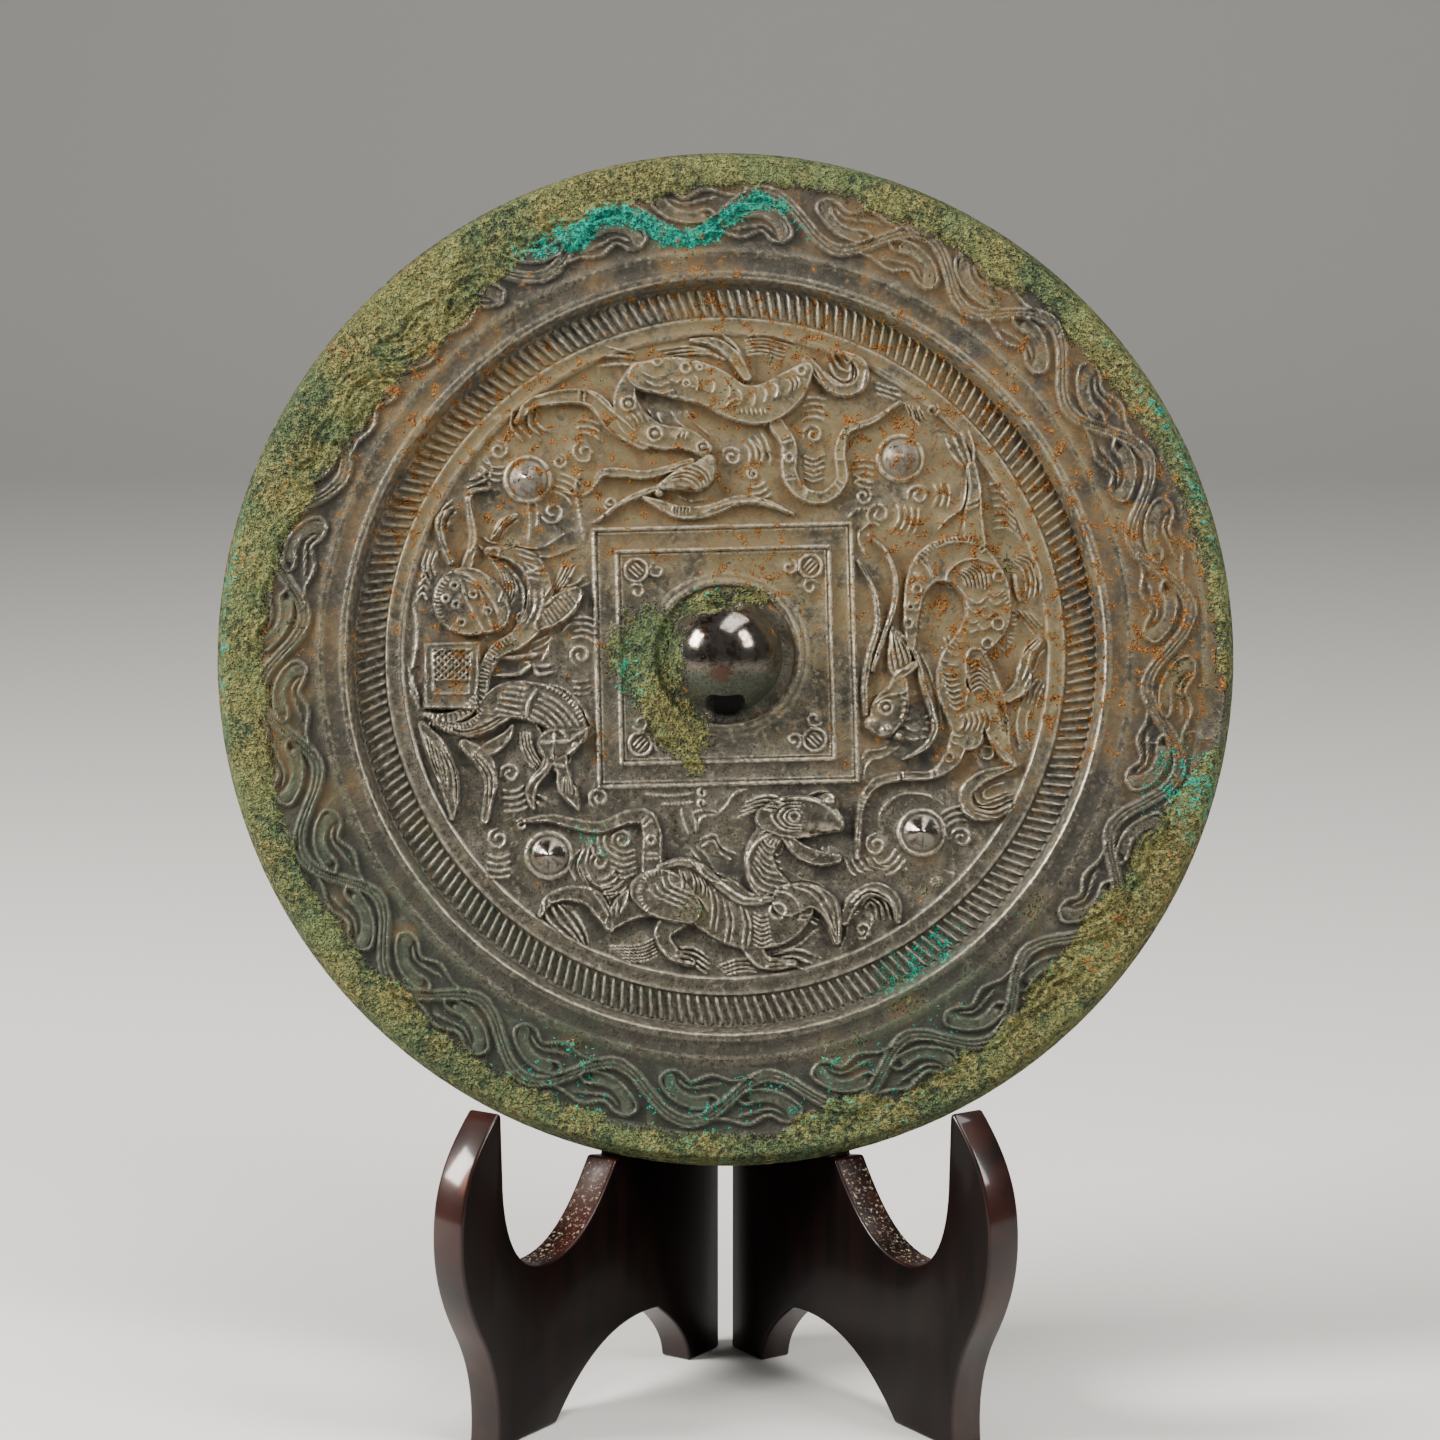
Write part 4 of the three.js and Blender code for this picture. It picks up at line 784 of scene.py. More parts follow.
def ground_scrolls():
    """Scrolls, ripples and leaf strokes that fill the field between the figures."""
    scrolls_with_arcs()
    arc_stacks()
    strokes_by_tiger()
    strokes_by_spotted_beast()
    strokes_by_dragon()
    strokes_by_tortoise()


def square_and_corners():
    """The square round the knob: two bold lines, a fine one inside each, and ringed sprigs in its corners."""
    turn = math.radians(SQUARE_ROLL)
    spin = np.array([[math.cos(turn), math.sin(turn)], [-math.sin(turn), math.cos(turn)]])
    for side, half, height in ((SQUARE_OUTER, 0.42, 0.62), (SQUARE_OUTER - 1.5, 0.2, 0.25),
                               (SQUARE_INNER, 0.4, 0.62), (SQUARE_INNER - 1.4, 0.18, 0.25)):
        reach = side / 2
        corners = np.array([(-reach, -reach), (reach, -reach), (reach, reach), (-reach, reach)]) @ spin
        for start, end in zip(corners, np.roll(corners, -1, axis=0)):
            relief.thread([start, end], half, height, blunt=True)
    for quarter in (45, 135, 225, 315):
        angle = math.radians(quarter + SQUARE_ROLL)
        out = np.array([math.cos(angle), math.sin(angle)])
        across = np.array([-out[1], out[0]])
        centre = (SQUARE_INNER / 2 - 3.4) * math.sqrt(2) * out
        ring(*centre, 2.0, 0.3, 0.55)
        for shift in (-0.75, 0, 0.75):
            start, end = centre + shift * across + 1.2 * out, centre + shift * across - 1.2 * out
            line(start, end, half=0.24)
        for side in (-1, 1):
            x, y = centre - 2.7 * out + side * 2.6 * across
            curl(x, y, 1.5, quarter + side * 20, -side, 1.1)
            join = centre - 1.6 * out + side * 0.9 * across
            line(join, join - 1.6 * out + side * 0.6 * across, half=0.25)


def nipples():
    """Four cones, each on a low seat with a ring round it."""
    foot, rise = 3.4, 2.9
    for x, y in NIPPLES:
        bump(x, y, 4.45, 0.5)
        ring(x, y, 4.0, 0.42, 0.45)
        for radius in np.linspace(foot, 0.3, 14):
            bump(x, y, radius, 0.35 + rise * (1 - radius / foot) ** 0.85, 0.3)


def on_rim(turn, radius):
    """A place on the mirror by its bearing in degrees and its radius."""
    angle = math.radians(turn)
    return radius * math.cos(angle), radius * math.sin(angle)


def vine_stem(crests):
    """Three lines side by side on a low mound, swinging out at each crest."""
    places = []
    for crest, following in zip(crests, np.append(crests[1:], crests[0] + 360)):
        for wave in np.arange(8) / 8:
            swing = VINE_SWING * np.cos(2 * math.pi * wave)
            places.append((crest + (following - crest) * wave, VINE_RADIUS + swing))
    for shift, half in ((0.95, 0.3), (0.05, 0.24), (-0.85, 0.32)):
        relief.thread([on_rim(turn, radius + shift) for turn, radius in places], half, 0.62, closed=True)
    relief.mound([(*on_rim(turn, radius), 1.2) for turn, radius in places], 0.3, 0.3, closed=True)


def vine_leaf(middle, side, generator):
    """A hooked leaf on the stem's outer or inner side: outline, swelling and one line inside."""
    def drawn(drop, steps):
        return [on_rim(middle - side * step, VINE_RADIUS + side * (lift - drop)) for step, lift in steps]

    wobble = generator.uniform(-0.25, 0.25, 4)
    outline = [(8.0, 4.4), (5.4, 3.9), (2.2, 4.9), (-0.4, 3.6), (-2.0, 4.9 + wobble[0]), (-3.6, 5.0),
               (-4.5, 3.4), (-3.4, 1.2 + wobble[1]), (-0.8, -0.7), (2.0, -0.8), (3.4, 0.4 + wobble[2]),
               (2.6, 1.3), (0, 0.8), (-1.6, 1.6), (-2.6, 3.2)]
    relief.thread(drawn(0.6, outline), 0.36, 0.6)
    spine = [(1.4, 0.1), (-1.2, 0.6), (-3, 2.4), (-3.4, 4)]
    relief.mound([(*place, 1.1) for place in drawn(0.6, spine)], 0.28, 0.5)
    relief.thread(drawn(0.3, [(3.6, 3.2), (1.4, 2.6), (-0.6, 2.2), (-2.2, 3.4)]), 0.26, 0.42)


def crack():
    """The hairline across the rim, in two lengths, its lips a little proud."""
    for length in ([(350.2, 87), (349.9, 85.2), (350.5, 84), (350.1, 82)],
                   [(348.5, 78), (348.1, 76.6), (348.3, 75.8), (347.8, 75)]):
        line(*(on_rim(turn, radius) for turn, radius in length), half=0.16, height=0.3)


def vine():
    """The running vine of the rim, a leaf in each of its hollows, and the crack that crosses it."""
    generator = np.random.default_rng(4)
    crests = 5 + 360 / WAVES * np.arange(WAVES) + generator.uniform(-0.7, 0.7, WAVES)
    vine_stem(crests)
    crack()
    for crest in crests:
        vine_leaf(crest + 0.4, -1, generator)
        vine_leaf(crest + 180 / WAVES - 0.4, 1, generator)


# ---- corrosion, drawn as soft-edged patches broken up by grain ----------------------------------
def blurred(field, reach):
    """The field smoothed over the reach in millimetres; it wraps at the map's border, outside the mirror."""
    rows = np.fft.fftfreq(field.shape[0], Relief.STEP)[:, None]
    columns = np.fft.rfftfreq(field.shape[1], Relief.STEP)[None, :]
    soften = np.exp(-2 * (math.pi * reach) ** 2 * (rows**2 + columns**2))
    return np.fft.irfft2(np.fft.rfft2(field) * soften, field.shape).astype(np.float32)


def grain(reach, seed):
    """Even random mottling with features of about the reach in millimetres, centred on 0."""
    noise = np.random.default_rng(seed).standard_normal(relief.height.shape).astype(np.float32)
    noise = blurred(noise, reach)
    return noise / noise.std()


def ease(low, high, value):
    """From 0 at low to 1 at high, level at both ends and beyond."""
    share = np.clip((value - low) / (high - low), 0, 1)
    return share * share * (3 - 2 * share)


def spot(x, y, cx, cy, wide, high, tilt=0):
    """1 at a patch's middle, falling to 0 at its edge."""
    angle = math.radians(tilt)
    u = ((x - cx) * math.cos(angle) + (y - cy) * math.sin(angle)) / wide
    v = ((y - cy) * math.cos(angle) - (x - cx) * math.sin(angle)) / high
    return np.clip(1.25 - np.hypot(u, v), 0, 1)


def around(turn, middle, wide):
    """1 at a bearing round the mirror, falling to 0 at a width away."""
    apart = np.abs((turn - middle + 180) % 360 - 180)
    return np.clip(1.2 - apart / wide, 0, 1)


def face_height(radius):
    """The height of the turned face at a radius."""
    return np.interp(radius, [r for r, _ in FACE], [h for _, h in FACE]).astype(np.float32)


# Where the rim's crust begins, by bearing, and how much of it is tan rather than green.
CRUST_EDGE = [(0, 87), (15, 85.6), (30, 84), (45, 83), (60, 82.4), (75, 84), (90, 83.4), (100, 81.5),
              (115, 79), (128, 75.5), (145, 75.5), (155, 77.5), (165, 80), (180, 82), (195, 83), (210, 83.2),
              (225, 82), (240, 83.2), (255, 84), (276, 84.4), (284, 79.5), (291, 84), (305, 81.4), (315, 80),
              (325, 79.4), (336, 79.4), (343, 83), (350, 88), (356, 88.4)]
TAN_SHARE = [(0, 0.35), (30, 0.5), (60, 0.55), (85, 0.35), (105, 0.6), (135, 0.65), (150, 0.35), (185, 0.45),
             (205, 0.25), (225, 0.5), (250, 0.6), (285, 0.55), (305, 0.75), (325, 0.9), (340, 0.8),
             (350, 0.4)]


def by_bearing(table, turn):
    """A table's value at each bearing, straight from one entry to the next round the mirror."""
    return np.interp(turn, [a for a, _ in table], [v for _, v in table], period=360)


class Corrosion:
    """Maps of how likely each kind of corrosion is, from 0 to 1, and of its thickness in millimetres."""

    def __init__(self):
        self.x, self.y = np.meshgrid(relief.axis, relief.axis)
        self.radius = np.hypot(self.x, self.y)
        self.turn = np.degrees(np.arctan2(self.y, self.x)) % 360
        self.coarse, self.middle, self.fine = grain(2.4, 1), grain(0.8, 2), grain(0.28, 3)
        self.upper = ease(-38, 30, self.y + 0.35 * self.x)
        self.crust = self.make_crust()
        self.malachite = self.make_malachite()
        self.film = self.make_film()
        self.dust = self.make_dust()
        self.rust = self.make_rust()
        self.tan = self.make_tan()
        self.thickness = self.make_thickness()

    def near(self, bearing, wide):
        return around(self.turn, bearing, wide)

    def beyond(self, low, high):
        """0 within the low radius and 1 past the high one, or the other way round if low is the larger."""
        return ease(low, high, self.radius)

    def patch(self, *place):
        return spot(self.x, self.y, *place)

    def make_crust(self):
        """Thick green crust: the rim's edge, and a patch that spills from the knob's left side."""
        beyond, patch = self.beyond, self.patch
        rim = np.clip((self.radius - by_bearing(CRUST_EDGE, self.turn)) / 4.0, -1.2, 0.55)
        knob_side = np.maximum.reduce([
            patch(-13.5, 1, 8, 10.5), patch(-8, -13, 8, 6, -35), 0.95 * patch(-5.6, -19.6, 2.6, 3.4),
            0.9 * patch(-4, 9, 7.5, 3.2, 10), 0.8 * patch(4.5, 10.5, 5, 2.2, -20)])
        want = np.maximum(rim, 1.15 * knob_side - 0.55 - 2 * beyond(7.2, 6.0) * (self.x > -8))
        return np.clip(0.5 + want + 0.13 * self.coarse + 0.07 * self.middle, 0, 1)

    def make_malachite(self):
        """Bright green: a wave of the vine at the top, and small patches elsewhere."""
        near, beyond, patch = self.near, self.beyond, self.patch
        crests = 77.2 + 3.6 * np.cos(np.radians((self.turn - 5) * WAVES))
        stem = np.clip(1.15 - np.abs(self.radius - crests) / 3.2, 0, 1)
        teal = (1.25 * near(95, 17) * stem * beyond(72, 73.5)
                + 0.6 * near(113, 9) * beyond(75, 78) * (1 - beyond(80, 84))
                + 0.45 * near(344, 9) * beyond(74, 79) + 0.24 * near(278, 50) * beyond(71, 74)
                + 0.47 * near(303, 13) * beyond(59, 61) * (1 - beyond(66, 68))
                + 0.36 * patch(-7, 11, 11, 3.4) + 0.42 * patch(-17, -3, 4, 9) + 0.32 * patch(-24, -34, 9, 7)
                + 0.45 * near(22, 24) * beyond(85, 88) + 0.4 * near(175, 30) * beyond(86.4, 88.6)
                + 0.12 * near(240, 50) * beyond(72, 75) * (1 - beyond(83, 85)))
        return np.clip(teal + 0.05 * self.coarse, 0, 1)

    def make_film(self):
        """Thin dark green film, most of it low on the left of the rim and beside the knob."""
        near, beyond = self.near, self.beyond
        return np.clip(0.16 + 0.5 * beyond(70, 78) * (0.45 + near(215, 90))
                       + 0.55 * near(235, 50) * beyond(59, 61) + 0.5 * near(303, 20) * beyond(58, 61)
                       + 0.5 * near(75, 40) * beyond(60, 64) * (1 - beyond(66, 69))
                       + 0.6 * self.patch(-12, -2, 13, 15) + 0.12 * self.coarse, 0, 1)

    def make_dust(self):
        """Ochre dust, thicker over the upper part of the field."""
        near, beyond = self.near, self.beyond
        return np.clip(0.18 + 0.55 * self.upper * (1 - 0.55 * beyond(58, 66))
                       + 0.1 * near(30, 45) * beyond(56, 60) + 0.22 * near(185, 60) * beyond(55, 60)
                       + 0.13 * self.coarse, 0, 1)

    def make_rust(self):
        """Crumbs of rust, fewer on the knob, low in the field and on the crust."""
        near, beyond = self.near, self.beyond
        rust = (0.26 + 0.36 * self.upper + 0.25 * near(8, 42) * beyond(26, 44)
                + 0.2 * near(165, 40) * beyond(25, 40)
                + 0.26 * near(33, 24) * beyond(54, 60) * (1 - beyond(70, 78))
                + 0.2 * near(88, 30) * beyond(58, 62) * (1 - beyond(68, 72))
                + 0.4 * near(175, 30) * beyond(78, 84) + 0.4 * near(323, 24) * beyond(78, 84)
                + 0.45 * near(226, 16) * beyond(79, 84) + 0.14 * near(20, 30) * beyond(70, 84)
                + 0.16 * near(140, 20) * beyond(57, 60) - 0.3 * near(270, 35) * beyond(66, 58)
                - 0.5 * beyond(9.4, 7))
        rust -= 0.2 * beyond(66, 69) + 0.3 * ease(0.45, 0.7, self.crust) * (1 - near(323, 40))
        return np.clip(rust + 0.11 * self.coarse, 0, 0.78)

    def make_tan(self):
        """How much of the crust is tan rather than green."""
        return np.clip(by_bearing(TAN_SHARE, self.turn) + 0.28 * self.coarse + 0.1 * self.middle
                       + 0.4 * self.patch(-6, -18, 5, 5) - 0.5 * self.patch(-13, 0, 12, 12), 0, 1)

    def make_thickness(self):
        """Lumps of crust, a skin of malachite, and an uneven surface between them; none at the very edge."""
        cover = ease(0.46, 0.66, self.crust + 0.10 * self.middle + 0.06 * self.fine)
        lump = np.clip(0.5 + 0.36 * grain(1.2, 11) + 0.1 * self.middle, 0, 1.7)
        thickness = (cover * (0.05 + 0.34 * lump) * (0.5 + 0.6 * self.beyond(78, 84))
                     + 0.12 * ease(0.5, 0.8, self.malachite))
        return (thickness * (1 - self.beyond(88.4, 89.8)) + 0.025 * self.coarse).astype(np.float32)


def draw_relief():
    """Everything raised on the casting, softened as worn bronze is."""
    square_and_corners()
    tortoise_and_snake()
    dragon()
    tiger()
    spotted_beast()
    ground_scrolls()
    nipples()
    vine()
    relief.height[:] = 0.5 * blurred(relief.height, 0.06) + 0.5 * relief.height


# ---- the mirror's mesh ---------------------------------------------------------------------------
def ring_radii():
    """Radii of the front's rings, and how many points each carries."""
    knob = [KNOB_RADIUS * math.cos(a) for a in np.radians(np.linspace(88, 4, 30))]
    spans = ((KNOB_RADIUS + 0.05, 57, 0.24), (57, 60.4, 0.17), (60.4, 65.2, 0.5), (65.2, 68.6, 0.2),
             (68.6, 72.6, 0.28), (72.6, 88.2, 0.3))
    radii = np.concatenate([knob, *(np.arange(*span) for span in spans), np.linspace(88.2, RADIUS, 7)])
    return [(r, TEETH * (1 if r < 6 else 2 if r < 16 else 4 if r < 38 else 8)) for r in radii]


def teeth(radius, turn):
    """The comb ring's slanted teeth."""
    slant = np.radians(1.2) * (radius - TEETH_FROM) / (TEETH_TO - TEETH_FROM)
    wave = np.cos((turn - slant) * TEETH)
    begun = ease(TEETH_FROM - 0.1, TEETH_FROM + 0.25, radius)
    ended = ease(TEETH_TO - 0.3, TEETH_TO + 0.3, radius)
    return TOOTH_HEIGHT * ease(0.25, 0.95, wave) * (begun * (1 - ended))


def sampled(field, x, y):
    """The map's value at each point, between its own points."""
    u = np.clip((x + RADIUS) / Relief.STEP, 0, relief.size - 1.001)
    v = np.clip((y + RADIUS) / Relief.STEP, 0, relief.size - 1.001)
    c, r = u.astype(int), v.astype(int)
    u, v = u - c, v - r
    return ((field[r, c] * (1 - u) + field[r, c + 1] * u) * (1 - v)
            + (field[r + 1, c] * (1 - u) + field[r + 1, c + 1] * u) * v)


def stitched(inner, outer):
    """Faces between two rings of vertex numbers, the outer ring with as many points or twice as many."""
    beside = np.roll(inner, -1)
    if len(outer) == len(inner):
        return np.vstack([np.c_[inner, outer, np.roll(outer, -1)], np.c_[inner, np.roll(outer, -1), beside]])
    near, far = outer[0::2], outer[1::2]
    after = np.roll(near, -1)
    return np.vstack([np.c_[inner, near, far], np.c_[inner, far, beside], np.c_[beside, far, after]])


def mirror_place():
    """From the mirror's own plane, in millimetres, to the scene."""
    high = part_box("mirror")[1]
    middle = Vector((0, high.y - BACK_RADIUS * MM * math.sin(LEAN),
                     high.z - RADIUS * MM * math.cos(LEAN) - EDGE_LAND * MM * math.sin(LEAN)))
    return Matrix.Translation(middle) @ Matrix.Rotation(math.pi / 2 - LEAN, 4, "X") @ Matrix.Scale(MM, 4)


def ring_points(radius, spokes, height):
    """Points round a circle, the height one for all or one for each."""
    turn = np.arange(spokes) * 2 * math.pi / spokes
    return np.c_[radius * np.cos(turn), radius * np.sin(turn), height * np.ones(spokes)]


def front_height(radius, spokes, corrosion):
    """The figured side's height at each spoke: the knob's dome, or the face with all that is raised on it."""
    turn = np.arange(spokes) * 2 * math.pi / spokes
    x, y = radius * np.cos(turn), radius * np.sin(turn)
    if radius < KNOB_RADIUS:
        height = np.full(spokes, FIELD + KNOB_HEIGHT * math.sqrt(1 - (radius / KNOB_RADIUS) ** 2))
        return height + 0.5 * sampled(corrosion.thickness, x, y)
    height = face_height(radius) + teeth(radius, turn) + sampled(relief.height, x, y)
    return height + sampled(corrosion.thickness, x, y) * (radius < RADIUS - 0.05)


def mirror_mesh(corrosion):
    """The casting as rings of points, out over the figured side and in again over the plain back."""
    points, faces, count = [np.array([[0, 0, FIELD + KNOB_HEIGHT]])], [], 1
    last = None
    for radius, spokes in ring_radii():
        points.append(ring_points(radius, spokes, front_height(radius, spokes, corrosion)))
        this = np.arange(count, count + spokes)
        if last is None:
            faces.append(np.c_[np.zeros(spokes, int), this, np.roll(this, -1)])
        else:
            faces.append(stitched(last, this))
        last, count = this, count + spokes
    edge = len(last)
    for radius, spokes in ((BACK_RADIUS, edge), (88.5, edge), (78, edge // 2), (60, edge // 4),
                           (40, edge // 8), (20, edge // 16)):
        points.append(ring_points(radius, spokes, 0))
        this = np.arange(count, count + spokes)
        faces.append(stitched(this, last)[:, ::-1])
        last, count = this, count + spokes
    points.append(np.zeros((1, 3)))
    faces.append(np.c_[np.full(len(last), count), last, np.roll(last, -1)][:, ::-1])
    return triangle_mesh("mirror_bronze", np.vstack(points), np.vstack(faces))


def triangle_mesh(name, points, faces):
    mesh = bpy.data.meshes.new(name)
    mesh.vertices.add(len(points))
    mesh.vertices.foreach_set("co", points.astype(np.float32).ravel())
    mesh.loops.add(faces.size)
    mesh.loops.foreach_set("vertex_index", faces.astype(np.int32).ravel())
    mesh.polygons.add(len(faces))
    mesh.polygons.foreach_set("loop_start", np.arange(0, faces.size, 3, dtype=np.int32))
    mesh.update(calc_edges=True)
    mesh.validate()
    return mesh


def only(*objects):
    """Selects these objects alone; the first is the one worked on."""
    bpy.ops.object.select_all(action="DESELECT")
    for item in objects:
        item.select_set(True)
    bpy.context.view_layer.objects.active = objects[0]


def apply_modifier(item, kind, **settings):
    only(item)
    modifier = item.modifiers.new(kind.lower(), kind)
    for name, value in settings.items():
        setattr(modifier, name, value)
    bpy.ops.object.modifier_apply(modifier=modifier.name)


def combine(item, tool, work):
    """Joins the tool to the item or cuts it out, and clears the tool away."""
    apply_modifier(item, "BOOLEAN", object=tool, operation=work, solver="EXACT")
    bpy.data.objects.remove(tool)


def point_places(item):
    """The places of a mesh's points, one to a row."""
    here = np.empty(len(item.data.vertices) * 3, np.float32)
    item.data.vertices.foreach_get("co", here)
    return here.reshape(-1, 3)


def add_layer(item, name, values):
    """A number at each point, for the item's material to read."""
    layer = item.data.attributes.new(name, "FLOAT", "POINT")
    layer.data.foreach_set("value", values.astype(np.float32))


def tunnel_cutter():
    """The arched passage through the knob."""
    bpy.ops.mesh.primitive_cube_add(size=1)
    cutter = bpy.context.object
    cutter.scale = (TUNNEL_WIDTH, TUNNEL_LENGTH, TUNNEL_HEIGHT)
    cutter.location = (0, 0, FIELD + TUNNEL_FLOOR + TUNNEL_HEIGHT / 2)
    only(cutter)
    bpy.ops.object.transform_apply(location=True, rotation=True, scale=True)
    apply_modifier(cutter, "BEVEL", width=1.7, segments=5, limit_method="ANGLE", affect="EDGES")
    return cutter


def polish(x, y, tunnel_shade):
    """Where handling keeps bronze bright: the knob's upper part, the nipples, the beasts' high points. The
    knob's lower side is left unpolished, so that it stays dark as painted shade.
    """
    radius = np.hypot(x, y)
    knob = np.clip((KNOB_RADIUS - 0.8 - radius) / 1.5, 0, 1) * (1 - ease(-0.8, -4, y)) * (1 - tunnel_shade)
    bosses = [0.85 * np.clip((3.5 - np.hypot(x - cx, y - cy)) / 0.8, 0, 1) for cx, cy in NIPPLES]
    high_points = [0.7 * np.clip((size - np.hypot(x - cx, y - cy)) / size, 0, 1)
                   for cx, cy, size in ((17.2, -28.5, 2), (18, -35.4, 2), (28, -12.6, 2.2), (-30, -18, 2.5))]
    return np.max([knob, *bosses, *high_points], axis=0)


def tunnel_shade_mask(x, y, z):
    """Painted shade: 1 inside the knob's tunnel and at its lower opening, which the bronze's material paints
    near-black.
    """
    radius = np.hypot(x, y)
    dome = FIELD + KNOB_HEIGHT * np.sqrt(np.clip(1 - (radius / KNOB_RADIUS) ** 2, 0, 1))
    inside = (radius < KNOB_RADIUS - 0.5) & (z < dome - 0.5)
    opening = np.clip(2.4 - 1.9 * np.hypot((x - 0.3) / 3.0, (y + 9.6) / 1.7), 0, 1)
    return np.clip(opening + inside, 0, 1)


def paint(item, corrosion):
    """Layers that the bronze's material reads, from the casting's own relief and from what grew on it; some
    of them carry painted shade and painted highlights.
    """
    x, y, z = point_places(item).T
    radius = np.hypot(x, y)
    across, up = np.meshgrid(relief.axis, relief.axis)
    radii, bearings = np.hypot(across, up), np.arctan2(up, across)
    whole = relief.height + face_height(radii) + corrosion.thickness + teeth(radii, bearings)
    raised = whole - blurred(whole, 0.26)
    # Painted shade with some grime: deeper where a point lies below its surroundings, as in hollows and at
    # the feet of raised lines.
    painted_shade_and_grime = 0.14 * (blurred(whole, 0.8) - whole) - raised
    # Painted shade in the grooves of the outer rings.
    groove = blurred(whole, 0.5) - whole
    comb = ease(59.5, 60.5, radius) * (1 - ease(65.5, 67, radius))
    # Painted shade: the knob's lower side is darkened.
    painted_shade_under_knob = ease(-1, -5, y)
    # Painted shade in the knob's tunnel and at its opening.
    tunnel_shade = tunnel_shade_mask(x, y, z)
    red = spot(x, y, -1, -3.2, 5, 2.6, -12) + spot(x, y, -3.4, 3.6, 1.8, 3.6, -25)
    layers = {
        # Painted shade with some grime in the hollows, painted shade in the outer grooves and on the knob's
        # lower side, and a slight darkening past radius 57.
        "painted_shade_and_grime": np.clip(np.clip(sampled(painted_shade_and_grime, x, y) / 0.2, 0, 1) * (radius > 10.6) * (1 - 0.5 * comb)
                          + np.clip(sampled(groove, x, y) / 0.14, 0, 0.85) * ease(66.5, 68, radius)
                          + 0.08 * ease(57, 57.6, radius) + 0.4 * painted_shade_under_knob * (radius < 10.6), 0, 1),
        "tunnel_shade": tunnel_shade,
        # Wear on the crests, which also carries painted highlights there.
        "worn": (np.clip((sampled(raised, x, y) - 0.03) / 0.12, 0, 1)
                 * (1 - 0.8 * ease(70, 73, radius) - 0.6 * comb)),
        "crust": sampled(corrosion.crust, x, y) * (radius > 6.6) * (1 - tunnel_shade),
        # Below the knob's middle the dark film is painted shade.
        "film": np.maximum(sampled(corrosion.film, x, y) * (radius > 8.6),
                           0.85 * ease(-0.5, -5, y) * (radius < 10.4)),
        "malachite": sampled(corrosion.malachite, x, y) * (radius > 8.2),
        "dust": sampled(corrosion.dust, x, y) * (radius > 10.2),
        "rust": sampled(corrosion.rust, x, y),
        "tan": sampled(corrosion.tan, x, y),
        "red": np.clip(red, 0, 1) * (radius < 9.4),
        "polished": polish(x, y, tunnel_shade),
    }
    plain_back = {"film": 0.5, "dust": 0.35, "crust": 0.3 + 0.24 * ease(70, 90, radius), "rust": 0.28,
                  "tan": 0.4, "painted_shade_and_grime": 0.1}
    for name, values in layers.items():
        add_layer(item, name, np.where(z > FIGURED_SIDE_FROM, values, plain_back.get(name, 0)))


def make_mirror():
    """The casting: relief and corrosion are drawn, the mesh is made from them, and the tunnel is cut."""
    draw_relief()
    corrosion = Corrosion()
    item = bpy.data.objects.new("mirror_bronze", mirror_mesh(corrosion))
    bpy.context.collection.objects.link(item)
    apply_modifier(item, "DECIMATE", ratio=min(1.0, MOST_TRIANGLES / len(item.data.polygons)))
    combine(item, tunnel_cutter(), "DIFFERENCE")
    paint(item, corrosion)
    item.data.transform(mirror_place())
    only(item)
    bpy.ops.object.shade_smooth_by_angle(angle=math.radians(60))
    item.data.update()
    return item


# ---- the stand -----------------------------------------------------------------------------------
LEAF_ANGLE = math.radians(33)
LEAF_THICKNESS = 6.2
HINGE_GAP = 2.2
ROUNDING = 0.55
LIP_REACH, LIP_HEIGHT, LEDGE = 33.2, 43.1, 3.4
POST_HEIGHT, POST_NOSE = 97.0, 6.0
KNUCKLE_RADIUS, KNUCKLE_BORE, KNUCKLE_FOOT, KNUCKLE_LENGTH, KNUCKLE_GAP = 3.4, 1.15, 56.0, 10.5, 0.3
PIN_RADIUS = 0.85


def bent(start, pulls, end, count=14):
    """Points of a curve from start to end, drawn by one pull or two, without its start."""
    start, end = np.array(start, float), np.array(end, float)
    pulls = [np.array(p, float) for p in pulls]
    t = np.linspace(0, 1, count + 1)[1:, None]
    if len(pulls) == 1:
        return list((1 - t) ** 2 * start + 2 * t * (1 - t) * pulls[0] + t**2 * end)
    return list((1 - t) ** 3 * start + 3 * t * (1 - t) ** 2 * pulls[0]
                + 3 * t**2 * (1 - t) * pulls[1] + t**3 * end)


def leaf_outline():
    """A leaf's side, as reach from the hinge and height."""
    lean_share = math.cos(LEAN) / math.cos(LEAF_ANGLE)
    seat = (LIP_REACH - LEDGE * lean_share, LIP_HEIGHT - LEDGE * math.sin(LEAN))
    slope = math.cos(LEAF_ANGLE) * math.cos(LEAN) / math.sin(LEAN)
    nose_foot = POST_HEIGHT - POST_NOSE
    nose = (seat[0] - (nose_foot - seat[1]) / slope, nose_foot)
    return [(0, 0), (9.9, 0), *bent((9.9, 0), [(10.1, 6)], (20.1, 12.6)),
            *bent((20.1, 12.6), [(38.3, 14.9)], (51.7, 0), 18), (69, 0),
            *bent((69, 0), [(68, 8), (69.6, 14.7)], (73.4, 20.7)),
            *bent((73.4, 20.7), [(76.8, 26.2), (79, 31.5)], (79, 38.3)),
            *bent((79, 38.3), [(79, 47), (75.8, 52.4)], (68.4, 58.7)), (67.6, 58.9), (67.3, 58.2),
            (66.9, 47.6), *bent((66.9, 47.6), [(66.9, 37.4), (63.1, 29.3)], (54.3, 29.3)),
            *bent((54.3, 29.3), [(45.9, 29.3), (39.9, 33.7)], (LIP_REACH, LIP_HEIGHT)), seat, nose,
            *bent(nose, [(9.3, POST_HEIGHT)], (3.8, POST_HEIGHT), 8), (0, POST_HEIGHT)]


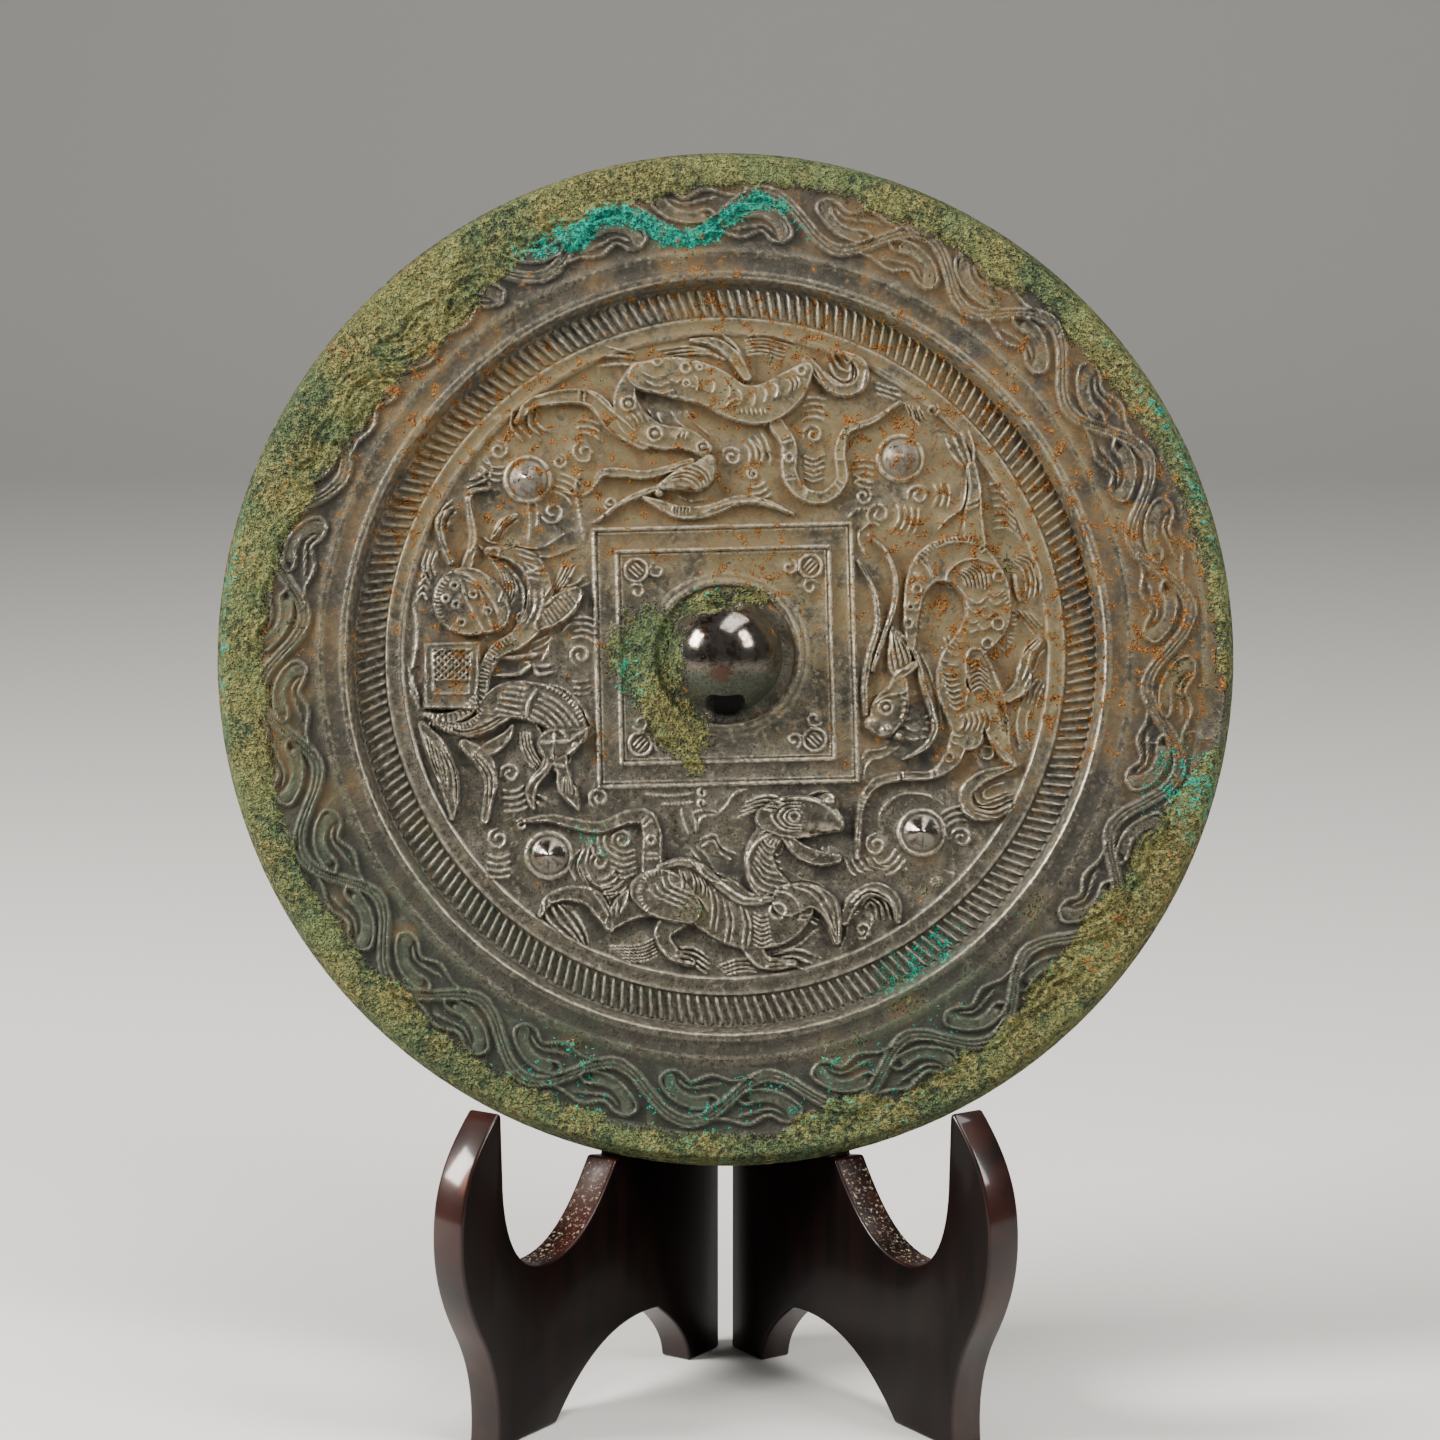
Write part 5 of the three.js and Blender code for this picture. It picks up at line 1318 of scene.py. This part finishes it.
def knuckle(radius, foot, length):
    """A barrel on the hinge's axis, in millimetres from the leaves' corner line."""
    bpy.ops.object.select_all(action="DESELECT")
    setback = HINGE_GAP / 2 / math.tan(LEAF_ANGLE)
    bpy.ops.mesh.primitive_cylinder_add(vertices=48, radius=radius, depth=length,
                                        location=(0, setback, foot + length / 2))
    return bpy.context.object


def leaf_board(name, side):
    """The sawn board: its side extruded to its thickness and stood at the leaf's angle."""
    outline = leaf_outline()
    board = bpy.data.meshes.new(name)
    board.from_pydata([(u, v, 0) for u, v in outline], [], [tuple(range(len(outline)))])
    item = bpy.data.objects.new(name, board)
    bpy.context.collection.objects.link(item)
    only(item)
    bpy.ops.object.mode_set(mode="EDIT")
    bpy.ops.mesh.select_all(action="SELECT")
    bpy.ops.mesh.extrude_region_move(TRANSFORM_OT_translate={"value": (0, 0, LEAF_THICKNESS)})
    bpy.ops.mesh.select_all(action="SELECT")
    bpy.ops.mesh.normals_make_consistent(inside=False)
    bpy.ops.object.mode_set(mode="OBJECT")
    across = Vector((-math.cos(LEAF_ANGLE), -side * math.sin(LEAF_ANGLE), 0))
    turn = Matrix(((side * math.sin(LEAF_ANGLE), 0, across.x),
                   (-math.cos(LEAF_ANGLE), 0, across.y),
                   (0, 1, 0))).to_4x4()
    shift = Vector((side * HINGE_GAP / 2, 0, 0)) - (across * LEAF_THICKNESS if side > 0 else Vector())
    board.transform(Matrix.Translation(shift) @ turn)
    if turn.determinant() < 0:
        board.flip_normals()
    return item


def make_leaf(name, side):
    """A board with rounded edges, its own knuckles joined on and room cut for the other leaf's."""
    item = leaf_board(name, side)
    apply_modifier(item, "BEVEL", width=ROUNDING, segments=3, limit_method="ANGLE",
                   angle_limit=math.radians(40))
    own = [1] if side < 0 else [0, 2]
    for i in range(3):
        foot = KNUCKLE_FOOT + i * (KNUCKLE_LENGTH + KNUCKLE_GAP)
        if i in own:
            combine(item, knuckle(KNUCKLE_RADIUS, foot, KNUCKLE_LENGTH), "UNION")
        else:
            room = knuckle(KNUCKLE_RADIUS + KNUCKLE_GAP, foot - KNUCKLE_GAP, KNUCKLE_LENGTH + 2 * KNUCKLE_GAP)
            combine(item, room, "DIFFERENCE")
    combine(item, knuckle(KNUCKLE_BORE, KNUCKLE_FOOT - 1, 3 * KNUCKLE_LENGTH + 3), "DIFFERENCE")
    return item


def stand_place():
    """From the leaves' corner line, in millimetres, to the scene."""
    low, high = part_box("hinge_pin")
    setback = HINGE_GAP / 2 / math.tan(LEAF_ANGLE)
    return Matrix.Translation((0, (low.y + high.y) / 2 - setback * MM, 0)) @ Matrix.Scale(MM, 4)


def wear_leaf(item, side):
    """Layers for lacquer gone from edges, from the band the mirror slides over and from the left hook."""
    outline = np.array(leaf_outline() + [(0, 0)])
    here = point_places(item)
    forward = np.array([side * math.sin(LEAF_ANGLE), -math.cos(LEAF_ANGLE)])
    reach = (here[:, :2] - (side * HINGE_GAP / 2, 0)) @ forward
    near = np.full(len(here), 99.0)
    for start, end in zip(outline, outline[1:]):
        along = end - start
        from_start = np.c_[reach, here[:, 2]] - start
        share = np.clip(from_start @ along / max(along @ along, 1e-9), 0, 1)
        near = np.minimum(near, np.hypot(*(from_start - share[:, None] * along).T))
    rim = np.clip(1 - near / 0.5, 0, 1)
    band = rim * ease(29, 34, reach) * (1 - ease(56, 60, reach)) * (here[:, 2] > 27)
    hook = np.clip(1.3 - np.hypot(reach - 72, here[:, 2] - 48) / 9, 0, 1) * (side < 0)
    for name, values in (("edge", rim), ("wear", band), ("bare", 0.75 * hook * rim)):
        add_layer(item, name, values)


def finish_leaf(item, side):
    wear_leaf(item, side)
    item.data.transform(stand_place())
    only(item)
    bpy.ops.object.shade_smooth_by_angle(angle=math.radians(35))


def make_pin():
    low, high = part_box("hinge_pin")
    bpy.ops.object.select_all(action="DESELECT")
    bpy.ops.mesh.primitive_cylinder_add(vertices=32, radius=PIN_RADIUS * MM, depth=high.z - low.z)
    pin = bpy.context.object
    pin.name = pin.data.name = "hinge_pin_brass"
    apply_modifier(pin, "BEVEL", width=0.25 * MM, segments=3, limit_method="ANGLE")
    pin.data.transform(Matrix.Translation(((low.x + high.x) / 2, (low.y + high.y) / 2, (low.z + high.z) / 2)))
    only(pin)
    bpy.ops.object.shade_smooth_by_angle(angle=math.radians(35))
    return pin


# ---- materials -----------------------------------------------------------------------------------
class Value:
    """A number that a shader's node gives, so that maths on it is written as an expression."""

    def __init__(self, finish, socket):
        self.finish, self.socket = finish, socket

    def worked(self, operation, first, second):
        return self.finish.node("ShaderNodeMath", {"operation": operation}, {0: first, 1: second})

    def __add__(self, other):
        return self.worked("ADD", self, other)

    def __radd__(self, other):
        return self.worked("ADD", other, self)

    def __sub__(self, other):
        return self.worked("SUBTRACT", self, other)

    def __rsub__(self, other):
        return self.worked("SUBTRACT", other, self)

    def __mul__(self, other):
        return self.worked("MULTIPLY", self, other)

    def __rmul__(self, other):
        return self.worked("MULTIPLY", other, self)


class Finish:
    """A material under construction."""

    def __init__(self, name):
        self.material = bpy.data.materials.new(name)
        self.material.use_nodes = True
        self.tree = self.material.node_tree
        self.tree.nodes.clear()
        self.shader = self.tree.nodes.new("ShaderNodeBsdfPrincipled")
        output = self.tree.nodes.new("ShaderNodeOutputMaterial")
        self.tree.links.new(self.shader.outputs[0], output.inputs["Surface"])
        coordinates = self.tree.nodes.new("ShaderNodeTexCoord")
        self.here = Value(self, coordinates.outputs["Object"])

    def node(self, kind, settings, inputs, output=0):
        """A node of the kind: its settings first, then a value or a link for each socket named."""
        made = self.tree.nodes.new(kind)
        for name, value in settings.items():
            setattr(made, name, value)
        for name, value in inputs.items():
            self.feed(made.inputs[name], value)
        return Value(self, made.outputs[output])

    def feed(self, socket, value):
        if isinstance(value, Value):
            self.tree.links.new(value.socket, socket)
        elif hasattr(value, "__len__") and len(value) == 3 and socket.type == "RGBA":
            socket.default_value = (*value, 1)
        else:
            socket.default_value = value

    def set(self, **inputs):
        """Values or links for the shader's sockets, by name, with _ for a space."""
        for name, value in inputs.items():
            self.feed(self.shader.inputs[name.replace("_", " ")], value)

    def noise(self, size, detail=3, roughness=0.6, where=None):
        """Mottling with features of about the size in metres, from 0 to 1."""
        return self.node("ShaderNodeTexNoise", {}, {"Vector": where or self.here, "Scale": 1 / size,
                                                    "Detail": detail, "Roughness": roughness})

    def between(self, low, high, value):
        """0 below the low value, 1 above the high one, eased in the middle."""
        return self.node("ShaderNodeMapRange", {"interpolation_type": "SMOOTHSTEP"},
                         {"Value": value, "From Min": low, "From Max": high})

    def mix(self, share, first, second):
        return self.node("ShaderNodeMix", {"data_type": "RGBA"}, {0: share, 6: first, 7: second}, 2)

    def layer(self, name):
        """The number that the piece's own layer of that name holds."""
        return self.node("ShaderNodeAttribute", {"attribute_name": name}, {}, 2)

    def bump(self, height, depth, under=None):
        inputs = {"Height": height, "Distance": depth, "Strength": 1.0}
        if under:
            inputs["Normal"] = under
        return self.node("ShaderNodeBump", {}, inputs)


class AgedBronze(Finish):
    """Dark bronze, brown dust and green film, crust, malachite and rust, each breaking up at its border."""

    def __init__(self):
        super().__init__("aged_bronze")
        self.cloud, self.mottle = self.noise(0.011), self.noise(0.0024)
        self.crumb, self.speck = self.noise(0.0018, 4, 0.7), self.noise(0.0009, 2)
        self.dot, self.fine = self.noise(0.00045, 1), self.noise(0.0003, 3, 0.7)
        self.tan, self.dust = self.layer("tan"), self.layer("dust")
        self.dust_share = self.broken(self.dust, 0.36, 0.80, 0.8) * 0.75
        self.film_share = self.broken(self.layer("film"), 0.46, 0.85, 1.0) * 0.6
        self.crust_share = self.broken(self.layer("crust"), 0.40, 0.60, 0.8)
        self.malachite_share = self.broken(self.layer("malachite"), 0.50, 0.62, 1.1)
        self.crumbs = self.layer("rust") * 0.9 + (self.crumb - 0.5) * 3.2 + (self.mottle - 0.5) * 1.6
        self.rust_share = self.between(0.96, 1.04, self.crumbs)

    def broken(self, layer, low, high, rough):
        """A layer cut off between two values, its border broken up by mottling of three sizes."""
        return self.between(low, high, layer + (self.mottle - 0.5) * rough + (self.speck - 0.5) * rough
                            + (self.dot - 0.5) * (0.6 * rough))

    def metal(self, painted_shade_and_grime, worn, polished):
        """Dark metal under dust and film, darkened in its hollows by painted shade with some grime, pale
        where worn and with painted highlights on the crests, bright where polished.
        """
        mix, between, mottle, speck, dot = self.mix, self.between, self.mottle, self.speck, self.dot
        cloudy = between(0.35, 0.65, self.cloud * 0.4 + mottle * 0.6)
        metal = mix(cloudy, (0.066, 0.062, 0.049), (0.13, 0.12, 0.093))
        metal = mix(between(0.52, 0.66, speck), metal, (0.215, 0.19, 0.145))
        metal = mix(between(0.54, 0.64, dot) * 0.85, metal, (0.035, 0.03, 0.023))
        metal = mix(self.dust_share, metal, (0.15, 0.121, 0.06))
        metal = mix(self.film_share, metal, (0.026, 0.050, 0.030))
        dusty = between(0.3, 0.7, self.dust + (self.cloud - 0.5))
        # Painted shade with some grime in the hollows: near-black, browner where dusty.
        metal = mix(painted_shade_and_grime * 0.92, metal, mix(dusty, (0.009, 0.008, 0.006), (0.065, 0.038, 0.013)))
        # Wear on the crests with painted highlights: pale metal there.
        rubbed_and_glint = worn * between(0.25, 0.65, speck) * 0.8
        rubbed_and_glint = rubbed_and_glint * (1 - 0.4 * self.dust_share) * (1 - 0.7 * self.film_share)
        metal = mix(rubbed_and_glint, metal, (0.48, 0.43, 0.34))
        patchy = between(0.45, 0.62, mottle * 0.6 + speck * 0.4)
        metal = mix(polished, metal, mix(patchy, (0.15, 0.138, 0.122), (0.075, 0.055, 0.04)))
        red = between(0.4, 0.9, self.layer("red") + (mottle - 0.5) * 1.6 + (speck - 0.5) * 1.6) * 0.8
        return mix(red, metal, (0.05, 0.021, 0.013))

    def crust_colour(self):
        """Green and tan crust, dark in its pits, paler where it is thick."""
        mix, between, mottle, speck = self.mix, self.between, self.mottle, self.speck
        grassy = between(0.36, 0.62, mottle * 0.35 + speck * 0.65)
        green = mix(grassy, (0.03, 0.052, 0.026), (0.14, 0.19, 0.07))
        sand = mix(between(0.38, 0.62, speck), (0.10, 0.094, 0.03), (0.27, 0.245, 0.08))
        colour = mix(between(0.1, 0.9, self.tan + (mottle - 0.5) * 1.4 + (speck - 0.5) * 1.2), green, sand)
        pits = between(0.53, 0.62, self.dot * 0.6 + mottle * 0.4) * 0.85
        colour = mix(pits, colour, (0.012, 0.016, 0.009))
        thick = between(0.46, 0.6, self.cloud * 0.6 + mottle * 0.4) * 0.45
        return mix(thick, colour, (0.21, 0.245, 0.085))

    def malachite_colour(self):
        return self.mix(self.between(0.35, 0.65, self.speck), (0.001, 0.10, 0.08), (0.004, 0.40, 0.27))

    def rusted(self, colour):
        """The colour with ochre crumbs on it, and a stain round them where there is no crust."""
        bright = self.between(0.35, 0.62, self.speck * 0.5 + self.dot * 0.5)
        ochre = self.mix(bright, (0.07, 0.024, 0.006), (0.33, 0.145, 0.032))
        stain = self.between(0.6, 1.0, self.crumbs) * 0.5 * (1 - self.crust_share)
        return self.mix(self.rust_share, self.mix(stain, colour, (0.13, 0.068, 0.02)), ochre)


def bronze():
    finish = AgedBronze()
    # The first layer darkens hollows and the knob's lower side as painted shade, with some grime; the second
    # marks wear on the crests together with painted highlights.
    painted_shade_and_grime, worn, polished = finish.layer("painted_shade_and_grime"), finish.layer("worn"), finish.layer("polished")
    tunnel_shade = finish.layer("tunnel_shade")
    colour = finish.mix(finish.crust_share, finish.metal(painted_shade_and_grime, worn, polished), finish.crust_colour())
    colour = finish.mix(finish.malachite_share, colour, finish.malachite_colour())
    # Painted shade: the tunnel and its opening are painted near-black.
    colour = finish.mix(tunnel_shade, finish.rusted(colour), (0.002, 0.0018, 0.0014))
    bare = (1 - tunnel_shade) * (1 - finish.crust_share) * (1 - finish.malachite_share) * (1 - finish.rust_share)
    clean = bare * (1 - finish.dust_share) * (1 - finish.film_share)
    shine = 0.46 + 0.08 * worn - 0.2 * painted_shade_and_grime + 0.28 * polished
    roughness = 0.88 - clean * shine - 0.25 * bare * (1 - clean)
    grown = finish.crumb * 0.9 + finish.speck * 0.7 + finish.mottle * 1.0 + finish.dot * 0.4
    lumps = finish.bump((1 - bare) * (1 - tunnel_shade) * grown, 0.0022)
    grains = (finish.fine * 0.45 + finish.dot * 0.55) * (1 - polished * 0.92)
    finish.set(Base_Color=colour, Roughness=roughness,
               Metallic=bare * (0.5 + 0.45 * clean) * (1 - 0.75 * painted_shade_and_grime),
               Normal=finish.bump(grains, 0.00013, lumps))
    finish.set(Specular_IOR_Level=0.25)
    return finish.material


def lacquered_wood():
    """Near-black lacquer with a reddish figure, redder at its edges, speckled through on the seat."""
    finish = Finish("dark_lacquered_wood")
    edge = finish.layer("edge")
    stretch = finish.node("ShaderNodeMapping", {}, {"Vector": finish.here, "Scale": (1.0, 1.0, 0.12)})
    figure = finish.noise(0.0035, 5, 0.6, stretch)
    cloud, chip = finish.noise(0.012), finish.noise(0.0007, 4, 0.75)
    colour = finish.mix(finish.between(0.3, 0.7, figure), (0.0012, 0.0006, 0.0005), (0.005, 0.0014, 0.001))
    colour = finish.mix(edge * finish.between(0.3, 0.7, cloud), colour, (0.022, 0.005, 0.0032))
    wear = finish.layer("wear")
    worn = finish.between(0.62, 0.70, wear * 0.36 + chip * 0.48)
    colour = finish.mix(worn, colour, (0.36, 0.30, 0.22))
    bare = finish.between(0.55, 0.75, finish.layer("bare") + (cloud - 0.5) * 0.5)
    colour = finish.mix(bare, colour, (0.16, 0.055, 0.02))
    normal = finish.bump(figure * 0.6 + worn, 0.00003)
    finish.set(Base_Color=colour, Roughness=0.34 + 0.4 * worn + 0.1 * cloud, Normal=normal,
               Coat_Weight=(0.05 + 0.5 * edge) * (1 - worn) * (1 - 0.9 * wear))
    finish.set(Specular_IOR_Level=0.12, Coat_Roughness=0.12)
    return finish.material


def brass():
    finish = Finish("dull_brass")
    mottle = finish.noise(0.0015)
    colour = finish.mix(mottle, (0.30, 0.20, 0.08), (0.52, 0.38, 0.16))
    finish.set(Base_Color=colour, Roughness=0.35 + 0.25 * mottle, Metallic=1.0)
    return finish.material


def plain(name, colour, roughness):
    finish = Finish(name)
    finish.set(Base_Color=colour, Roughness=roughness)
    return finish.material


# ---- pieces ---------------------------------------------------------------------------------------
def dress(item, material, body_name, node):
    """Gives a piece its material and its body, and lets it stand in for the CAD's solid."""
    item.data.materials.clear()
    item.data.materials.append(material)
    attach(item, body_name)
    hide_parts(node)


dress(make_mirror(), bronze(), "stand_left", "mirror")
wood = lacquered_wood()
for leaf_name, side, body_name in (("stand_leaf_left", -1, "stand_left"),
                                   ("stand_leaf_right", 1, "stand_right")):
    leaf = make_leaf(leaf_name + "_wood", side)
    finish_leaf(leaf, side)
    dress(leaf, wood, body_name, leaf_name)
dress(make_pin(), brass(), "stand_left", "hinge_pin")


# ---- floor, light and camera ----------------------------------------------------------------------
def add_floor():
    """A pale sweep: floor in front, curving up into a wall far behind."""
    curve = [(1.4 + 0.8 * math.sin(a), 0.8 - 0.8 * math.cos(a)) for a in np.radians(np.arange(7.5, 90, 7.5))]
    profile = [(-4, 0), (1.4, 0), *curve, (2.2, 0.8), (2.2, 3.5)]
    points = [(x, y, z) for y, z in profile for x in (-4, 4)]
    mesh = bpy.data.meshes.new("sweep")
    mesh.from_pydata(points, [], [(2 * i, 2 * i + 1, 2 * i + 3, 2 * i + 2) for i in range(len(profile) - 1)])
    sweep = bpy.data.objects.new("sweep", mesh)
    bpy.context.collection.objects.link(sweep)
    only(sweep)
    bpy.ops.object.shade_smooth()
    mesh.materials.append(plain("pale_floor", (0.62, 0.61, 0.59), 0.7))


def add_softbox(name, place, aim, size, power, colour):
    light = bpy.data.lights.new(name, "AREA")
    light.shape, light.size, light.size_y = "RECTANGLE", *size
    light.energy, light.color = power, colour
    lamp = bpy.data.objects.new(name, light)
    lamp.location = place
    lamp.rotation_euler = (Vector(aim) - Vector(place)).to_track_quat("-Z", "Y").to_euler()
    bpy.context.collection.objects.link(lamp)


def add_room_light():
    """Dim even light from all round."""
    world = bpy.data.worlds.new("studio")
    bpy.context.scene.world = world
    world.use_nodes = True
    background = world.node_tree.nodes["Background"]
    background.inputs["Color"].default_value = (0.78, 0.78, 0.77, 1)
    background.inputs["Strength"].default_value = 0.17


def add_camera():
    camera = bpy.data.cameras.new("camera")
    camera.sensor_width, camera.lens = 36, 113.55
    camera.clip_start, camera.clip_end = 0.01, 20
    item = bpy.data.objects.new("camera", camera)
    item.location = (-0.00097, -0.77504, 0.25383)
    item.rotation_euler = (math.radians(90 - 9.75), 0, 0)
    bpy.context.collection.objects.link(item)
    bpy.context.scene.camera = item


add_floor()
target = (0, 0.02, 0.13)
add_softbox("left", (-0.70, -0.20, 0.56), target, (0.30, 0.34), 21.0, (1, 0.97, 0.92))
add_softbox("right", (0.54, -0.42, 0.64), target, (0.24, 0.42), 8.5, (1, 0.97, 0.92))
add_softbox("top", (0.22, -0.10, 1.02), target, (0.9, 0.4), 9.0, (1, 0.98, 0.95))
add_room_light()
add_camera()
